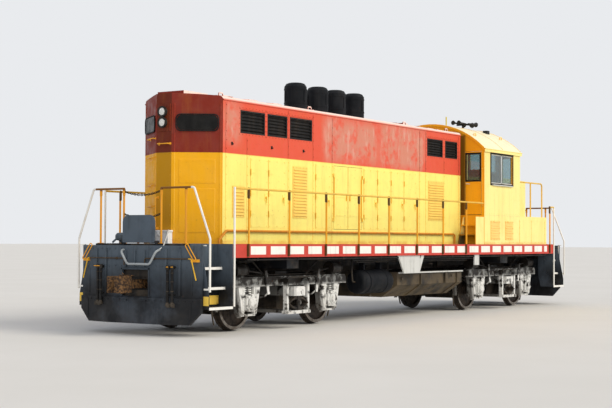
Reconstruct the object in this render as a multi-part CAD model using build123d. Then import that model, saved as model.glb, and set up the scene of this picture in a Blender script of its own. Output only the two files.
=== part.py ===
from build123d import *
import os
from math import sqrt

# Diesel locomotive: a four-axle hood unit with a low nose ahead of its cab.
# Millimetres. +X points to the nose end, +Y to the left side, +Z up.
# z = 0 is the lowest point of the wheel flanges, so the rail top lies flange_depth higher.

# Overall sizes
truck_centres = 9449
truck_wheelbase = 2743
truck_overhang = 3075.5
coupler_reach = 720
sill_width = 3040
body_length = truck_centres + 2 * truck_overhang
coupled_length = body_length + 2 * coupler_reach

# Clearances
running_gap = 0.4
seat_gap = 0.3
moving_gap = 8

# Wheelset
wheel_diameter = 1016
flange_depth = 27
flange_width = 32
back_to_back = 1360
rim_width = 140
rim_thickness = 68
web_thickness = 40
hub_radius = 150
hub_overhang = 40
hub_inner_overhang = 10
# columns: distance from the wheel's inner face, how far under the flange's tip
flange_table = ((0, 12), (10, 0), (22, 0))
tread_shoulder = 6
tread_run = 14
tread_taper = 4
axle_radius = 95
journal_radius = 80
journal_end = 1165

tread_radius = wheel_diameter / 2
flange_radius = tread_radius + flange_depth
axle_z = flange_radius
wheel_inner_y = back_to_back / 2
wheel_outer_y = wheel_inner_y + rim_width


def up(height_over_rail):
    return flange_depth + height_over_rail


# Underframe
deck_top = up(1590)
deck_plate = 50
sill_bottom = up(1347)
sill_plate = 40
centre_sill_width = 600
centre_sill_bottom = up(1120)
bolster_length = 400
bolster_width = 2360
cross_beam_width = 90
cross_beam_depth = 110
cross_beam_places = (-2900, -1500, 0, 1500, 2900)
pocket_cut = 1
step_well_length = 720
step_well_depth = 440

half_body = body_length / 2
half_sill = sill_width / 2
deck_under = deck_top - deck_plate
well_x = half_body - step_well_length
well_y = half_sill - step_well_depth

# Coupler and its draft pocket
coupler_height = 876
coupler_pivot_inset = 450
coupler_pin_radius = 38
coupler_eye_radius = 85
shank_width = 140
shank_height = 150
shank_overlap = 40
head_length = 420
head_half_width = 165
head_height = 290
head_shoulder = 290
guard_arm_proud = 25
jaw_depth = 190
# columns: distance behind the pulling face, distance across to the left
guard_arm_table = ((10, -145), (45, -120))
knuckle_table = ((120, 70), (90, 35), (40, -5), (0, 30), (15, 120))
jaw_width = (-60, 40)
pocket_wall = 50
pocket_length = 700

coupler_z = up(coupler_height)
coupler_pivot_x = half_body - coupler_pivot_inset
coupler_face_x = coupled_length / 2
pocket_half_width = coupler_eye_radius + 85
pocket_half_height = shank_height / 2 + moving_gap

# Pilot
pilot_lead = 130
pilot_sweep = 140
pilot_face_x = half_body + pilot_lead
pilot_wing_x = pilot_face_x - pilot_sweep
pilot_centre_half = 650
pilot_half_width = 1400
pilot_plate = 30
pilot_bottom = up(180)
pilot_top = up(1560)
pilot_corner_cut = 230
pilot_bracket = 40
plough_top = up(640)
plough_lift = 40
pilot_mouth_half = 300
pilot_mouth_low = up(660)
pilot_mouth_high = up(1130)
mouth_lintel = 60
end_sill_bottom = pilot_mouth_high + mouth_lintel

# Steps at the four corners
step_plate = 20
step_end_inset = 50
tread_thickness = 30
step_side_drop = 120
step_side_foot = 200
kick_plate_inset = 40
# columns: height over the rail, inner and outer distance from the centre line
tread_table = ((490, 1150, 1520), (830, 1100, 1360), (1180, 1100, 1290))
kick_plate_heights = (520, 830)

# Long hood
hood_wall = 50
hood_half_width = 928
hood_end_half = 178
rear_platform = 622
hood_corner_length = 552
front_platform = 1040
nose_length = 1760
cab_length = 2040
hood_cab_gap = 150
# Length of the hood's side on which the places along the hood are drawn
hood_side_drawn = 9436
hood_wall_top = up(4230)
hood_edge_z = up(4290)
hood_crown_z = up(4340)
hood_edge_radius = 60

nose_front_x = half_body - front_platform
cab_front_x = nose_front_x - nose_length
cab_rear_x = cab_front_x - cab_length
hood_front_x = cab_rear_x - hood_cab_gap
hood_end_x = rear_platform - half_body
hood_corner_x = hood_end_x + hood_corner_length


def hood_x(place):
    """A place along the hood, drawn from its rear corner, on the hood's side as long as it is."""
    return hood_corner_x + place * (hood_front_x - hood_corner_x) / hood_side_drawn


shutter_border = 30
slat_seat = 5
slat_share = 0.9
slat_pitch = 54
slat_thickness = 7
slat_tilt = 35
# columns: first and last place along the hood, low and high z over the rail
shutter_table = (
    (531, 1316, 3650, 4080),
    (1392, 2063, 3650, 4080),
    (2145, 2939, 3650, 4080),
    (7751, 8526, 3640, 4050),
    (8641, 9271, 3640, 4050),
)
panel_thickness = 8
louvre_pitch = 60
louvre_height = 26
louvre_proud = 18
louvre_lip = 4
louvre_margin = 30
louvre_first = 0.75
# columns: first and last place along the hood, low and high z over the rail, louvred
panel_table = (
    (296, 666, 2080, 2660, True),
    (856, 1411, 1900, 3200, False),
    (1436, 1991, 1900, 3200, False),
    (2256, 2756, 2100, 3120, True),
    (3066, 3606, 1900, 3200, False),
    (4936, 5481, 1900, 3200, False),
    (5506, 6061, 1900, 3200, False),
    (6086, 6641, 1900, 3200, False),
    (6666, 7221, 1900, 3200, False),
    (7806, 8586, 2140, 3060, True),
)

# Hinged doors
hinge_pin_radius = 8
hinge_lug_radius = 14
hinge_lug_height = 70
hinge_inset = 160
hinge_web = 40
hinge_standoff = hinge_lug_radius + 6
engine_door_hole = (hood_x(3745), hood_x(4857))
engine_door_meeting_gap = 16
engine_door_width = (engine_door_hole[1] - engine_door_hole[0] - engine_door_meeting_gap) / 2 - moving_gap
engine_door_low = up(1900)
engine_door_high = up(3200)
handle_inset = 60
handle_half_height = 60
handle_half_width = 9
handle_proud = 26

# Cab
cab_half_width = 1500
cab_wall = 60
cab_floor_top = up(2300)
cab_floor_plate = 50
cab_roof_half = 1530
cab_roof_edge_z = up(3900)
cab_roof_peak_z = up(4550)
cab_roof_plate = 50
cab_roof_rear_overhang = 30
cab_roof_front_overhang = 50
cab_roof_skirt = 200
cab_roof_trim = 5
side_window_x = (cab_rear_x + 370, cab_front_x - 460)
side_window_z = (up(3080), up(3790))
front_window_y = (110, 820)
front_window_z = (up(3440), up(4130))
door_pane_z = (up(3150), up(3770))
door_pane_margin = 50
cab_door_y = (980, 1420)
cab_door_z = (cab_floor_top + 12, up(3840))
pane_thickness = 14
door_knob_inset = 45
door_knob_height = 760
door_knob_length = 40
door_knob_radius = 16
cab_step_heights = (1830, 2065)
cab_step_x = cab_rear_x - 280
cab_step_side = 440
cab_step_run = 110
cab_step_nose = 60
cab_step_toe = 80
cab_step_gap = 12
cab_tread = 25
beam_inset = 10
floor_beam_width = 120
floor_end_plate = 50

# Seats and desk, each measured from the cab's rear wall and its floor
seat_x = cab_rear_x + 1020
seat_y = 1060
seat_height = 400
seat_cushion = 100
seat_length = (-220, 230)
seat_half_width = 230
seat_back_half = 220
seat_back_height = 560
seat_back_lean = 60
seat_back_thickness = 80
seat_post_radius = 45
seat_foot_radius = 160
seat_foot_thickness = 25
seat_edge_radius = 30
arm_rest_x = (-150, 120)
arm_rest_width = 40
arm_rest_heights = (435, 680)
desk_x = cab_rear_x + 1120
desk_y = (-700, -330)
# columns: distance from the desk's rear edge, height over the floor
desk_table = ((0, 0), (420, 0), (420, 1150), (250, 1180), (0, 860))
# columns: distance from the desk's rear edge, height over the floor
lever_table = ((120, 900), (180, 1000), (240, 1090))
lever_length = 100
lever_rise = 10
lever_radius = 12

# Low nose and battery boxes
nose_top_cab = up(3300)
nose_top_front = up(3260)
nose_brow = 90
nose_corner = 170
battery_front_x = nose_front_x - 100
# columns: first and last distance from the cab's rear wall
battery_door_table = ((340, 840), (1170, 1600))
battery_door_foot = 110
battery_door_head = 90
battery_louvre_margin = 40

# Drop steps
drop_step_reach = 48
drop_step_lift = 30
drop_step_half = 375
drop_step_height = 510
drop_step_plate = 24
drop_step_knuckle = 16
drop_step_pin = 9
drop_step_ear = (381, 405)
drop_step_ear_radius = 24

# Handrails
rail_radius = 19
rail_top = up(2580)
post_foot_z = up(1365)
# Places along the hood
post_places = (-14, 1266, 2536, 3756, 4966, 6191, 7401, 8556)
front_post_inset = 280
front_post_x = well_x - front_post_inset
rail_jog_start = 260
rail_jog_end = 160
rail_cab_inset = 30
step_post_x = well_x - rail_radius
end_rail_x = half_body - 45
end_post_table = (440, 1000)
end_rail_out = 1120
grab_low = up(760)
grab_elbow = up(1680)
grab_x = end_rail_x
grab_foot = (30, 60)
grab_foot_reach = 110
grab_bend = 50
grab_shoulder = 60
nose_rail_z = up(3180)
nose_rail_inset = 40
nose_rail_front = nose_front_x - 310
nose_rail_bend = 90

# Pipe along the hood's foot
foot_pipe_radius = 22
foot_pipe_standoff = 40
foot_pipe_z = up(1830)
foot_pipe_front_x = hood_front_x - 370
foot_pipe_bend = 70
foot_pipe_clip = 30
# Places along the hood
foot_pipe_clips = (326, 2026, 2926, 4926, 6226, 7526, 8826)

# Trucks
frame_half_length = 1960
frame_inner_y = 980
frame_outer_y = 1160
frame_top = up(980)
frame_under = up(800)
pedestal_leg = 130
pedestal_foot = up(300)
pedestal_tie = 38
pedestal_foot_share = 0.6
pedestal_slope = 220
pedestal_flare = 60
pedestal_tie_inset = 30
frame_end_slope = 60
transom_width = 120
transom_x = 430
end_transom_lift = 20
end_transom_width = 80
box_half_width = 145
box_low = up(350)
box_high = up(665)
box_inner_y = 900
box_outer_y = 1200
box_cover_radius = 112
box_cover_depth = 42
box_end_clearance = 6
truck_bolster_half = 190
truck_bolster_low = up(600)
truck_bolster_high = up(780)
truck_bolster_end = 1345
centre_plate_radius = 260
centre_neck_top = up(1060)
centre_neck_inset = 80
plank_half = 160
plank_low = up(262)
plank_high = up(322)
hanger_x = 350
hanger_width = 64
hanger_inner_y = 1195
hanger_outer_y = 1345
hanger_top = up(950)
hanger_pin_radius = 34
hanger_pin_drop = 50
hanger_leg_inset = 30
coil_radius = 62
coil_offset = 76
coil_turns = 5
coil_groove = 14
# Shares of one turn at which the wire begins, ends and the groove is deepest
coil_wire_shares = (0.15, 0.7, 0.85)
leaf_half_length = 300
leaf_pack = 62
leaf_end = 90
leaf_width = 110
motor_length = 700
motor_half_width = 430
motor_low = up(250)
motor_high = up(860)
motor_bearing_radius = 150
motor_bearing_lap = 20
motor_chamfer = 70
gear_case_reach = (210, 560)
gear_case_width = 130
gear_case_half_height = 230
gear_case_chamfer = 90
brake_cylinder_radius = 125
brake_cylinder_length = 330
brake_cylinder_x = 1600
shoe_gap = 9
shoe_thickness = 42
shoe_height = 320
shoe_width = 90
shoe_wrap = 60
shoe_hanger_half = 20
shoe_hanger_thickness = 24
shoe_hanger_rise = 60
shoe_pin_radius = 12
shoe_pin_rise = 40
cylinder_edge = 25
cylinder_foot = (120, 60)

# Tank, air and roof equipment
truck_inner_x = truck_centres / 2 - frame_half_length
tank_x = (-850, truck_inner_x - 564.5)
tank_bevel = 400
tank_side_low = 270
tank_saddle_inset = 400
tank_saddle_half = 90
filler_place = 1500
filler_radius = 55
filler_height = 160
filler_inset = (60, 20)
tank_low = up(430)
tank_high = up(980)
tank_half_width = 1270
reservoir_x = (464.5 - truck_inner_x, -1060)
reservoir_dome = 90
reservoir_strap_inset = 280
reservoir_strap_half = 30
reservoir_strap_proud = 8
reservoir_hanger_half = 60
reservoir_radius = 250
reservoir_y = 1090
reservoir_z = up(800)
engine_x = (hood_x(3026), hood_x(7326))
engine_half_width = 480
engine_high = up(3350)
stack_row_x = hood_x(4820)
# the drums' middles, from the row's middle
stack_offsets = (-1129, -289, 416, 1186)
stack_radius = 236
stack_top = up(4965)
stack_neck_radius = 150
# columns: inward from the drum's radius, and height: over the hood's crown, then under the drum's top
drum_foot_table = ((30, 40), (0, 70))
drum_head_table = ((0, 80), (40, 20), (90, 0))
stack_neck_heights = (-20, 40)
horn_x = cab_rear_x + 1220
horn_y = -300
horn_lift = 55
horn_bar = 45
horn_throat = 15
# columns: place across, length to the front or (negative) to the rear, bell radius
horn_table = ((-150, 430, 62), (-75, -380, 55), (0, 520, 68), (75, -400, 57), (150, 360, 58))
antenna_place = (cab_rear_x + 460, -220)
antenna_height = 230
antenna_radius = 16
antenna_foot = 20
roof_box_place = (cab_rear_x + 1610, -760)
roof_box_half = (70, 60)
roof_box_heights = (-60, 70)
# columns: middle x, length, width, height over the hood's crown
hood_fitting_table = (
    (hood_x(-24), 700, 620, 55),
    (stack_row_x - 1494, 160, 60, 90),
    (hood_x(6926), 900, 700, 50),
    (hood_x(8096), 260, 300, 120),
    (hood_x(8926), 560, 900, 40),
)
fan_row_x = hood_x(1732)
fan_places = (fan_row_x - 806, fan_row_x - 4, fan_row_x + 810)
fan_radius = 370
fan_height = 62
fan_ring = 26
fan_foot = 20
fan_bar_half = 11
fan_bar_depth = 22
fan_hub_radius = 80
fan_blade = (270, 110, 10)
fan_blade_middle = 190
fan_blade_tilt = 30

# Lamps and number boards
lamp_radius = 92
rear_lamp_heights = (4000, 3800)
rear_lamp_depth = 60
front_lamp_height = 4300
front_lamp_offset = 105
front_lamp_depth = 70
board_thickness = 22
corner_board = (740, 270, 90)
corner_board_height = 3800
cab_board = (430, 150, 50)
cab_board_place = (520, 4260)

# White plates under the sills
tapered_plate_x = (-1180, -30)
tapered_plate_foot = (-920, -240)
tapered_plate_low = up(960)
jacking_pad_x = (2460, 2700)
jacking_pad_low = up(1100)
hanger_plate_inset = (60, 30)

# Uncoupling levers, hoses and jumper cable, each ahead of the pilot's face
lever_off = 34
lever_bar = 11
lever_bend = 40
lever_bend_heights = (up(1210), up(1330), up(960))
lever_across = (240, 640, 1210, 1320)
lever_wing_off = 40
lever_bracket_y = (420, 450)
lever_bracket_half = 20
hose_places = (780, 870)
hose_off = 75
hose_radius = 24
hose_clip_radius = 16
hose_root = 90
hose_heights = (up(560), up(1204))
hose_rest_heights = (up(700), up(1180))
jumper_radius = 20
jumper_bend = 80
jumper_off = 90
jumper_socket_z = up(1480)
jumper_low_z = up(1230)
jumper_across = (-560, -400, 120, 280)


def block(x_ends, y_ends, z_ends):
    low = Vector(min(x_ends), min(y_ends), min(z_ends))
    high = Vector(max(x_ends), max(y_ends), max(z_ends))
    size = high - low
    return Location((low + high) / 2) * Box(size.X, size.Y, size.Z)


def rod(start, end, radius):
    start, end = Vector(*start), Vector(*end)
    return extrude(Plane(origin=start, z_dir=end - start) * Circle(radius), (end - start).length)


def pipe(points, radius, bend):
    """A round bar along straight runs with its corners bent to one radius."""
    path = FilletPolyline(*points, radius=bend)
    return sweep(Plane(origin=path @ 0, z_dir=path % 0) * Circle(radius), path)


def plan_solid(points, z_ends):
    face = Polygon(*points, align=None)
    return Pos(0, 0, z_ends[0]) * extrude(face, z_ends[1] - z_ends[0], dir=(0, 0, 1))


def side_solid(points, y_ends):
    """A profile of x and z points, as thick as y_ends is wide."""
    face = Plane.XZ * Polygon(*points, align=None)
    return Pos(0, y_ends[0], 0) * extrude(face, y_ends[1] - y_ends[0], dir=(0, 1, 0))


def cross_solid(points, x_ends):
    """A cross-section of y and z points, as long as x_ends is wide."""
    face = Plane.YZ * Polygon(*points, align=None)
    return Pos(x_ends[0], 0, 0) * extrude(face, x_ends[1] - x_ends[0], dir=(1, 0, 0))


def both_sides(*solids):
    return list(solids) + [mirror(solid, Plane.XZ) for solid in solids]


def both_ends(*solids):
    return list(solids) + [mirror(solid, Plane.YZ) for solid in solids]


def four_corners(*solids):
    return both_ends(*both_sides(*solids))


def save(node, *solids):
    pieces = [piece for solid in solids for piece in solid.solids()]
    shape = pieces[0] if len(pieces) == 1 else Compound(children=pieces)
    export_step(shape, f"parts/{node}.step")


def underframe():
    half_centre = centre_sill_width / 2
    outline = [
        (-half_body, -well_y), (-well_x, -well_y), (-well_x, -half_sill),
        (well_x, -half_sill), (well_x, -well_y), (half_body, -well_y),
        (half_body, well_y), (well_x, well_y), (well_x, half_sill),
        (-well_x, half_sill), (-well_x, well_y), (-half_body, well_y),
    ]
    frame = plan_solid(outline, (deck_under, deck_top))
    for side in (-1, 1):
        sill_y = (side * half_sill, side * (half_sill - sill_plate))
        frame += block((-well_x, well_x), sill_y, (sill_bottom, deck_top))
    frame += block((-half_body, half_body), (-half_centre, half_centre), (centre_sill_bottom, deck_under))
    for end in (-1, 1):
        end_x = (end * half_body, end * (half_body - sill_plate))
        frame += block(end_x, (-well_y, well_y), (end_sill_bottom, deck_top))
        truck_x = end * truck_centres / 2
        bolster_x = (truck_x - bolster_length / 2, truck_x + bolster_length / 2)
        bolster_y = (-bolster_width / 2, bolster_width / 2)
        frame += block(bolster_x, bolster_y, (centre_sill_bottom, deck_under))
    for beam_x in cross_beam_places:
        beam_ends = (beam_x - cross_beam_width / 2, beam_x + cross_beam_width / 2)
        beam_z = (deck_under - cross_beam_depth, deck_under)
        frame += block(beam_ends, (sill_plate - half_sill, half_sill - sill_plate), beam_z)
    for end in (-1, 1):
        frame += draft_pocket(end)
    return frame


def draft_pocket(end):
    """The box under the end sill that holds the coupler's shank and its pin."""
    half_width = pocket_half_width + pocket_wall
    half_height = pocket_half_height + pocket_wall
    pocket_x = (end * (half_body - pocket_length), end * half_body)
    pocket = block(pocket_x, (-half_width, half_width), (coupler_z - half_height, centre_sill_bottom))
    cavity_x = (end * (half_body - pocket_length + pocket_wall), end * (half_body + pocket_cut))
    cavity_z = (coupler_z - pocket_half_height, coupler_z + pocket_half_height)
    pocket -= block(cavity_x, (-pocket_half_width, pocket_half_width), cavity_z)
    pin_x = end * coupler_pivot_x
    pin_low = coupler_z - pocket_half_height - pocket_wall / 2
    pin_high = coupler_z + pocket_half_height + pocket_wall / 2
    return pocket + rod((pin_x, 0, pin_low), (pin_x, 0, pin_high), coupler_pin_radius)


def coupler(end):
    """Shank, head, guard arm and knuckle, with the jaw open to the front."""
    half_shank = shank_width / 2
    head_x = coupler_face_x - head_length
    shoulder_x = coupler_face_x - head_shoulder
    jaw_x = coupler_face_x - jaw_depth
    shank = rod((coupler_pivot_x, 0, coupler_z - shank_height / 2),
                (coupler_pivot_x, 0, coupler_z + shank_height / 2), coupler_eye_radius)
    shank += block((coupler_pivot_x, head_x + shank_overlap), (-half_shank, half_shank),
                   (coupler_z - shank_height / 2, coupler_z + shank_height / 2))
    guard = [(coupler_face_x - back, across) for back, across in guard_arm_table]
    knuckle = [(coupler_face_x - back, across) for back, across in knuckle_table]
    head_outline = [
        (head_x, -half_shank), (shoulder_x, -head_half_width),
        (coupler_face_x - 60, -head_half_width - guard_arm_proud), *guard,
        (jaw_x, jaw_width[0]), (jaw_x, jaw_width[1]), *knuckle,
        (coupler_face_x - 90, head_half_width), (shoulder_x, head_half_width), (head_x, half_shank),
    ]
    head = plan_solid(head_outline, (coupler_z - head_height / 2, coupler_z + head_height / 2))
    bore = rod((coupler_pivot_x, 0, coupler_z - shank_height), (coupler_pivot_x, 0, coupler_z + shank_height),
               coupler_pin_radius + running_gap)
    whole = shank + head - bore
    return whole if end > 0 else Rot(0, 0, 180) * whole


def pilot_face_at(y):
    """How far forward the front pilot's upper plate lies at a distance y from the middle."""
    sweep_back = (pilot_face_x - pilot_wing_x) / (pilot_half_width - pilot_centre_half)
    return pilot_face_x - max(0, abs(y) - pilot_centre_half) * sweep_back


def pilot():
    """The front pilot: three upright facets, a proud plough plate below, and the coupler's mouth."""
    def facets(outer_shift, z_ends):
        wing_x, face_x = pilot_wing_x + outer_shift, pilot_face_x + outer_shift
        outer = [(wing_x, -pilot_half_width), (face_x, -pilot_centre_half),
                 (face_x, pilot_centre_half), (wing_x, pilot_half_width)]
        inner = [(x - outer_shift - pilot_plate, y) for x, y in reversed(outer)]
        return plan_solid(outer + inner, z_ends)

    plate = facets(0, (pilot_bottom, pilot_top)) + facets(plough_lift, (pilot_bottom, plough_top))
    inside_x = (pilot_wing_x - 200, pilot_face_x + 200)
    for side in (-1, 1):
        cut = cross_solid([
            (side * pilot_half_width, pilot_bottom - 1), (side * (pilot_half_width + 1), pilot_bottom - 1),
            (side * (pilot_half_width + 1), pilot_bottom + pilot_corner_cut),
            (side * pilot_half_width, pilot_bottom + pilot_corner_cut),
            (side * (pilot_half_width - pilot_corner_cut), pilot_bottom),
            (side * (pilot_half_width - pilot_corner_cut), pilot_bottom - 1),
        ], inside_x)
        plate -= cut
        bracket_y = (side * (pilot_centre_half - pilot_bracket), side * pilot_centre_half)
        plate += block((half_body, pilot_face_x - pilot_plate), bracket_y, (end_sill_bottom, pilot_top))
    mouth_y = (-pilot_mouth_half, pilot_mouth_half)
    return plate - block(inside_x, mouth_y, (pilot_mouth_low, pilot_mouth_high))


def corner_step():
    """One set of steps, at the front left corner: side plates, back plate and three treads."""
    inner_x = well_x
    outer_x = half_body - step_end_inset
    low = up(tread_table[0][0]) - tread_thickness
    side_profile = [(well_y, deck_top), (half_sill, deck_top), (half_sill, low), (tread_table[0][1], low),
                    (well_y, up(tread_table[1][0]) - 2 * tread_thickness)]
    step = cross_solid(side_profile, (inner_x, inner_x + step_plate))
    side_top = deck_top - step_side_drop
    outer_profile = [(well_y, side_top), (tread_table[1][2], side_top), (half_sill, low + step_side_foot),
                     (half_sill, low), (tread_table[0][1], low),
                     (well_y, up(tread_table[1][0]) - 2 * tread_thickness)]
    step += cross_solid(outer_profile, (outer_x - step_plate / 2, outer_x))
    back_z = (up(tread_table[1][0]) - tread_thickness, deck_top)
    step += block((inner_x, outer_x), (well_y, well_y + step_plate), back_z)
    for height, inner_y, outer_y in tread_table:
        step += block((inner_x, outer_x), (inner_y, outer_y), (up(height) - tread_thickness, up(height)))
    kick_y = tread_table[0][1] + kick_plate_inset
    kick_z = [up(height) - tread_thickness / 2 for height in kick_plate_heights]
    step += block((inner_x, outer_x), (kick_y, kick_y + step_plate / 2), kick_z)
    return step


def hood_outline():
    return [
        (hood_front_x, hood_half_width), (hood_corner_x, hood_half_width), (hood_end_x, hood_end_half),
        (hood_end_x, -hood_end_half), (hood_corner_x, -hood_half_width), (hood_front_x, -hood_half_width),
    ]


def hood_prism(inset, z_ends):
    face = Polygon(*hood_outline(), align=None)
    if inset:
        face = offset(face, amount=-inset, kind=Kind.INTERSECTION)
    return Pos(0, 0, z_ends[0]) * extrude(face, z_ends[1] - z_ends[0])


def hinge(axis_xy, along, outward, z_ends):
    """Two fixed lugs and the moving pin with its leaf, for a hinge line at axis_xy.

    along and outward are unit vectors in plan: along the leaf from the hinge, and out of the wall's face.
    """
    axis_x, axis_y = axis_xy

    def plan_block(along_ends, outward_ends, z_pair):
        corners = [(axis_x + a * along[0] + o * outward[0], axis_y + a * along[1] + o * outward[1])
                   for a, o in ((along_ends[0], outward_ends[0]), (along_ends[1], outward_ends[1]))]
        return block((corners[0][0], corners[1][0]), (corners[0][1], corners[1][1]), z_pair)

    low = z_ends[0] + hinge_inset
    high = z_ends[1] - hinge_inset
    lugs = []
    for lug_low in (low, high - hinge_lug_height):
        lug_z = (lug_low, lug_low + hinge_lug_height)
        lug = rod((axis_x, axis_y, lug_z[0]), (axis_x, axis_y, lug_z[1]), hinge_lug_radius)
        lug += plan_block((-hinge_web, 0), (-hinge_standoff, hinge_lug_radius / 2), lug_z)
        bore_low = (axis_x, axis_y, lug_z[0] - 1)
        bore_high = (axis_x, axis_y, lug_z[1] + 1)
        lugs.append(lug - rod(bore_low, bore_high, hinge_pin_radius + running_gap))
    pin = rod((axis_x, axis_y, low), (axis_x, axis_y, high), hinge_pin_radius)
    leaf_z = (low + hinge_lug_height + moving_gap, high - hinge_lug_height - moving_gap)
    leaf = plan_block((0, hinge_web), (-hinge_standoff, hinge_lug_radius / 2), leaf_z)
    return lugs, pin + leaf


def engine_door_hinge(side, pair_end):
    axis_x = engine_door_hole[0] if pair_end < 0 else engine_door_hole[1]
    axis = (axis_x, side * (hood_half_width + hinge_standoff))
    return hinge(axis, (-pair_end, 0), (0, side), (engine_door_low, engine_door_high))


def engine_door(side, pair_end):
    """One leaf of the pair of doors; pair_end -1 is the rear leaf and 1 the front leaf."""
    hole_end = engine_door_hole[0] if pair_end < 0 else engine_door_hole[1]
    hinge_x = hole_end - pair_end * moving_gap
    leaf_x = (hinge_x, hinge_x - pair_end * engine_door_width)
    leaf_y = (side * hood_half_width, side * (hood_half_width - hood_wall))
    leaf = block(leaf_x, leaf_y, (engine_door_low, engine_door_high))
    handle_x = hinge_x - pair_end * (engine_door_width - handle_inset)
    handle_z = (engine_door_low + engine_door_high) / 2
    handle_y = (side * hood_half_width, side * (hood_half_width + handle_proud))
    leaf += block((handle_x - handle_half_width, handle_x + handle_half_width), handle_y,
                  (handle_z - handle_half_height, handle_z + handle_half_height))
    return leaf + engine_door_hinge(side, pair_end)[1]


def hood_walls():
    walls = hood_prism(0, (deck_top, hood_wall_top)) - hood_prism(hood_wall, (deck_top - 1, hood_wall_top + 1))
    hood_span = (-hood_half_width - 1, hood_half_width + 1)
    for first, last, z_low, z_high in shutter_table:
        walls -= block((hood_x(first), hood_x(last)), hood_span, (up(z_low), up(z_high)))
    door_z = (engine_door_low - moving_gap, engine_door_high + moving_gap)
    walls -= block(engine_door_hole, hood_span, door_z)
    for side in (-1, 1):
        for pair_end in (-1, 1):
            for lug in engine_door_hinge(side, pair_end)[0]:
                walls += lug
    return walls


def hood_roof_section(inset):
    half = hood_half_width - inset
    edge = hood_edge_z - inset
    crown = hood_crown_z - inset
    lines = [
        Line((-half, hood_wall_top), (-half, edge)),
        ThreePointArc((-half, edge), (0, crown), (half, edge)),
        Line((half, edge), (half, hood_wall_top)),
        Line((half, hood_wall_top), (-half, hood_wall_top)),
    ]
    face = make_face(lines)
    if inset == 0:
        corners = face.vertices().filter_by(lambda vertex: vertex.Y > hood_edge_z - 1)
        face = fillet(corners, hood_edge_radius)
    return face


def hood_roof_prism(inset):
    length = hood_front_x - hood_end_x + 2 * inset
    return Pos(hood_end_x - inset, 0, 0) * extrude(Plane.YZ * hood_roof_section(inset), length, dir=(1, 0, 0))


def hood_roof():
    outer = hood_roof_prism(0)
    inner = hood_roof_prism(hood_wall)
    roof_z = (hood_wall_top - 1, hood_crown_z + 1)
    roof = (outer & hood_prism(0, roof_z)) - (inner & hood_prism(hood_wall, roof_z))
    for fan_x in fan_places:
        roof -= rod((fan_x, 0, hood_wall_top), (fan_x, 0, hood_crown_z + 50), fan_radius)
    return roof


def hood_panels():
    """Shut service doors and louvred plates, proud of the hood's sides."""
    panels = []
    out_y = hood_half_width + panel_thickness
    for first, last, z_low, z_high, louvred in panel_table:
        x_ends = (hood_x(first), hood_x(last))
        z_ends = (up(z_low), up(z_high))
        panel = block(x_ends, (hood_half_width, out_y), z_ends)
        if louvred:
            for fin in louvres(x_ends, z_ends, out_y, louvre_proud, louvre_margin):
                panel += fin
        panels.append(panel)
    return both_sides(*panels)


def louvres(x_ends, z_ends, out_y, proud, margin):
    """Pressed louvres in rows over a plate whose outer face is at out_y."""
    fins = []
    for row in range(int((z_ends[1] - z_ends[0] - louvre_pitch) / louvre_pitch)):
        base = z_ends[0] + louvre_pitch * (row + louvre_first)
        profile = [(out_y - 1, base + louvre_height), (out_y + proud, base), (out_y - 1, base - louvre_lip)]
        fins.append(cross_solid(profile, (x_ends[0] + margin, x_ends[1] - margin)))
    return fins


def shutter(x_first, x_last, z_low, z_high):
    """One framed set of tilted slats, as thick as the hood's wall."""
    y_ends = (hood_half_width - hood_wall, hood_half_width)
    inner_x = (x_first + shutter_border, x_last - shutter_border)
    inner_z = (z_low + shutter_border, z_high - shutter_border)
    frame = block((x_first, x_last), y_ends, (z_low, z_high))
    frame -= block(inner_x, (y_ends[0] - 1, y_ends[1] + 1), inner_z)
    slat_x = (inner_x[0] - slat_seat, inner_x[1] + slat_seat)
    middle_y = sum(y_ends) / 2
    count = int((inner_z[1] - inner_z[0]) / slat_pitch)
    for row in range(count):
        slat_z = inner_z[0] + (row + 0.5) * (inner_z[1] - inner_z[0]) / count
        slat = Box(slat_x[1] - slat_x[0], hood_wall * slat_share, slat_thickness)
        frame += Pos(sum(slat_x) / 2, middle_y, slat_z) * Rot(slat_tilt, 0, 0) * slat
    return frame


def radiator_shutters():
    return both_sides(*[shutter(hood_x(first), hood_x(last), up(z_low), up(z_high))
                        for first, last, z_low, z_high in shutter_table])


def roof_fan(fan_x):
    """A fan ring let into the roof, with its hub, blades and cross bars."""
    low = hood_wall_top + fan_foot
    high = hood_crown_z + fan_height
    ring = rod((fan_x, 0, low), (fan_x, 0, high), fan_radius)
    ring -= rod((fan_x, 0, low - 1), (fan_x, 0, high + 1), fan_radius - fan_ring)
    hub = rod((fan_x, 0, low + fan_foot), (fan_x, 0, high), fan_hub_radius)
    bar_reach = fan_radius - fan_ring / 2
    for turn in range(4):
        bar = block((-bar_reach, bar_reach), (-fan_bar_half, fan_bar_half), (high - fan_bar_depth, high))
        ring += Pos(fan_x, 0, 0) * Rot(0, 0, 45 * turn) * bar
    blade_z = (low + high) / 2 - fan_foot
    for turn in range(6):
        blade = Pos(fan_blade_middle, 0, blade_z) * Rot(fan_blade_tilt, 0, 0) * Box(*fan_blade)
        hub += Pos(fan_x, 0, 0) * Rot(0, 0, 60 * turn) * blade
    return ring + hub


def exhaust_stack(row_offset):
    """A drum-shaped spark arrester on a neck whose foot follows the roof's crown."""
    neck_low, neck_high = [hood_crown_z + height for height in stack_neck_heights]
    points = [(0, neck_low), (stack_neck_radius, neck_low), (stack_neck_radius, neck_high)]
    points += [(stack_radius - inward, hood_crown_z + height) for inward, height in drum_foot_table]
    points += [(stack_radius - inward, stack_top - depth) for inward, depth in drum_head_table]
    points.append((0, stack_top))
    drum = revolve(Plane.XZ * Polygon(*points, align=None), Axis.Z)
    return Pos(stack_row_x + row_offset, 0, 0) * drum - hood_roof_prism(0)


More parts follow.
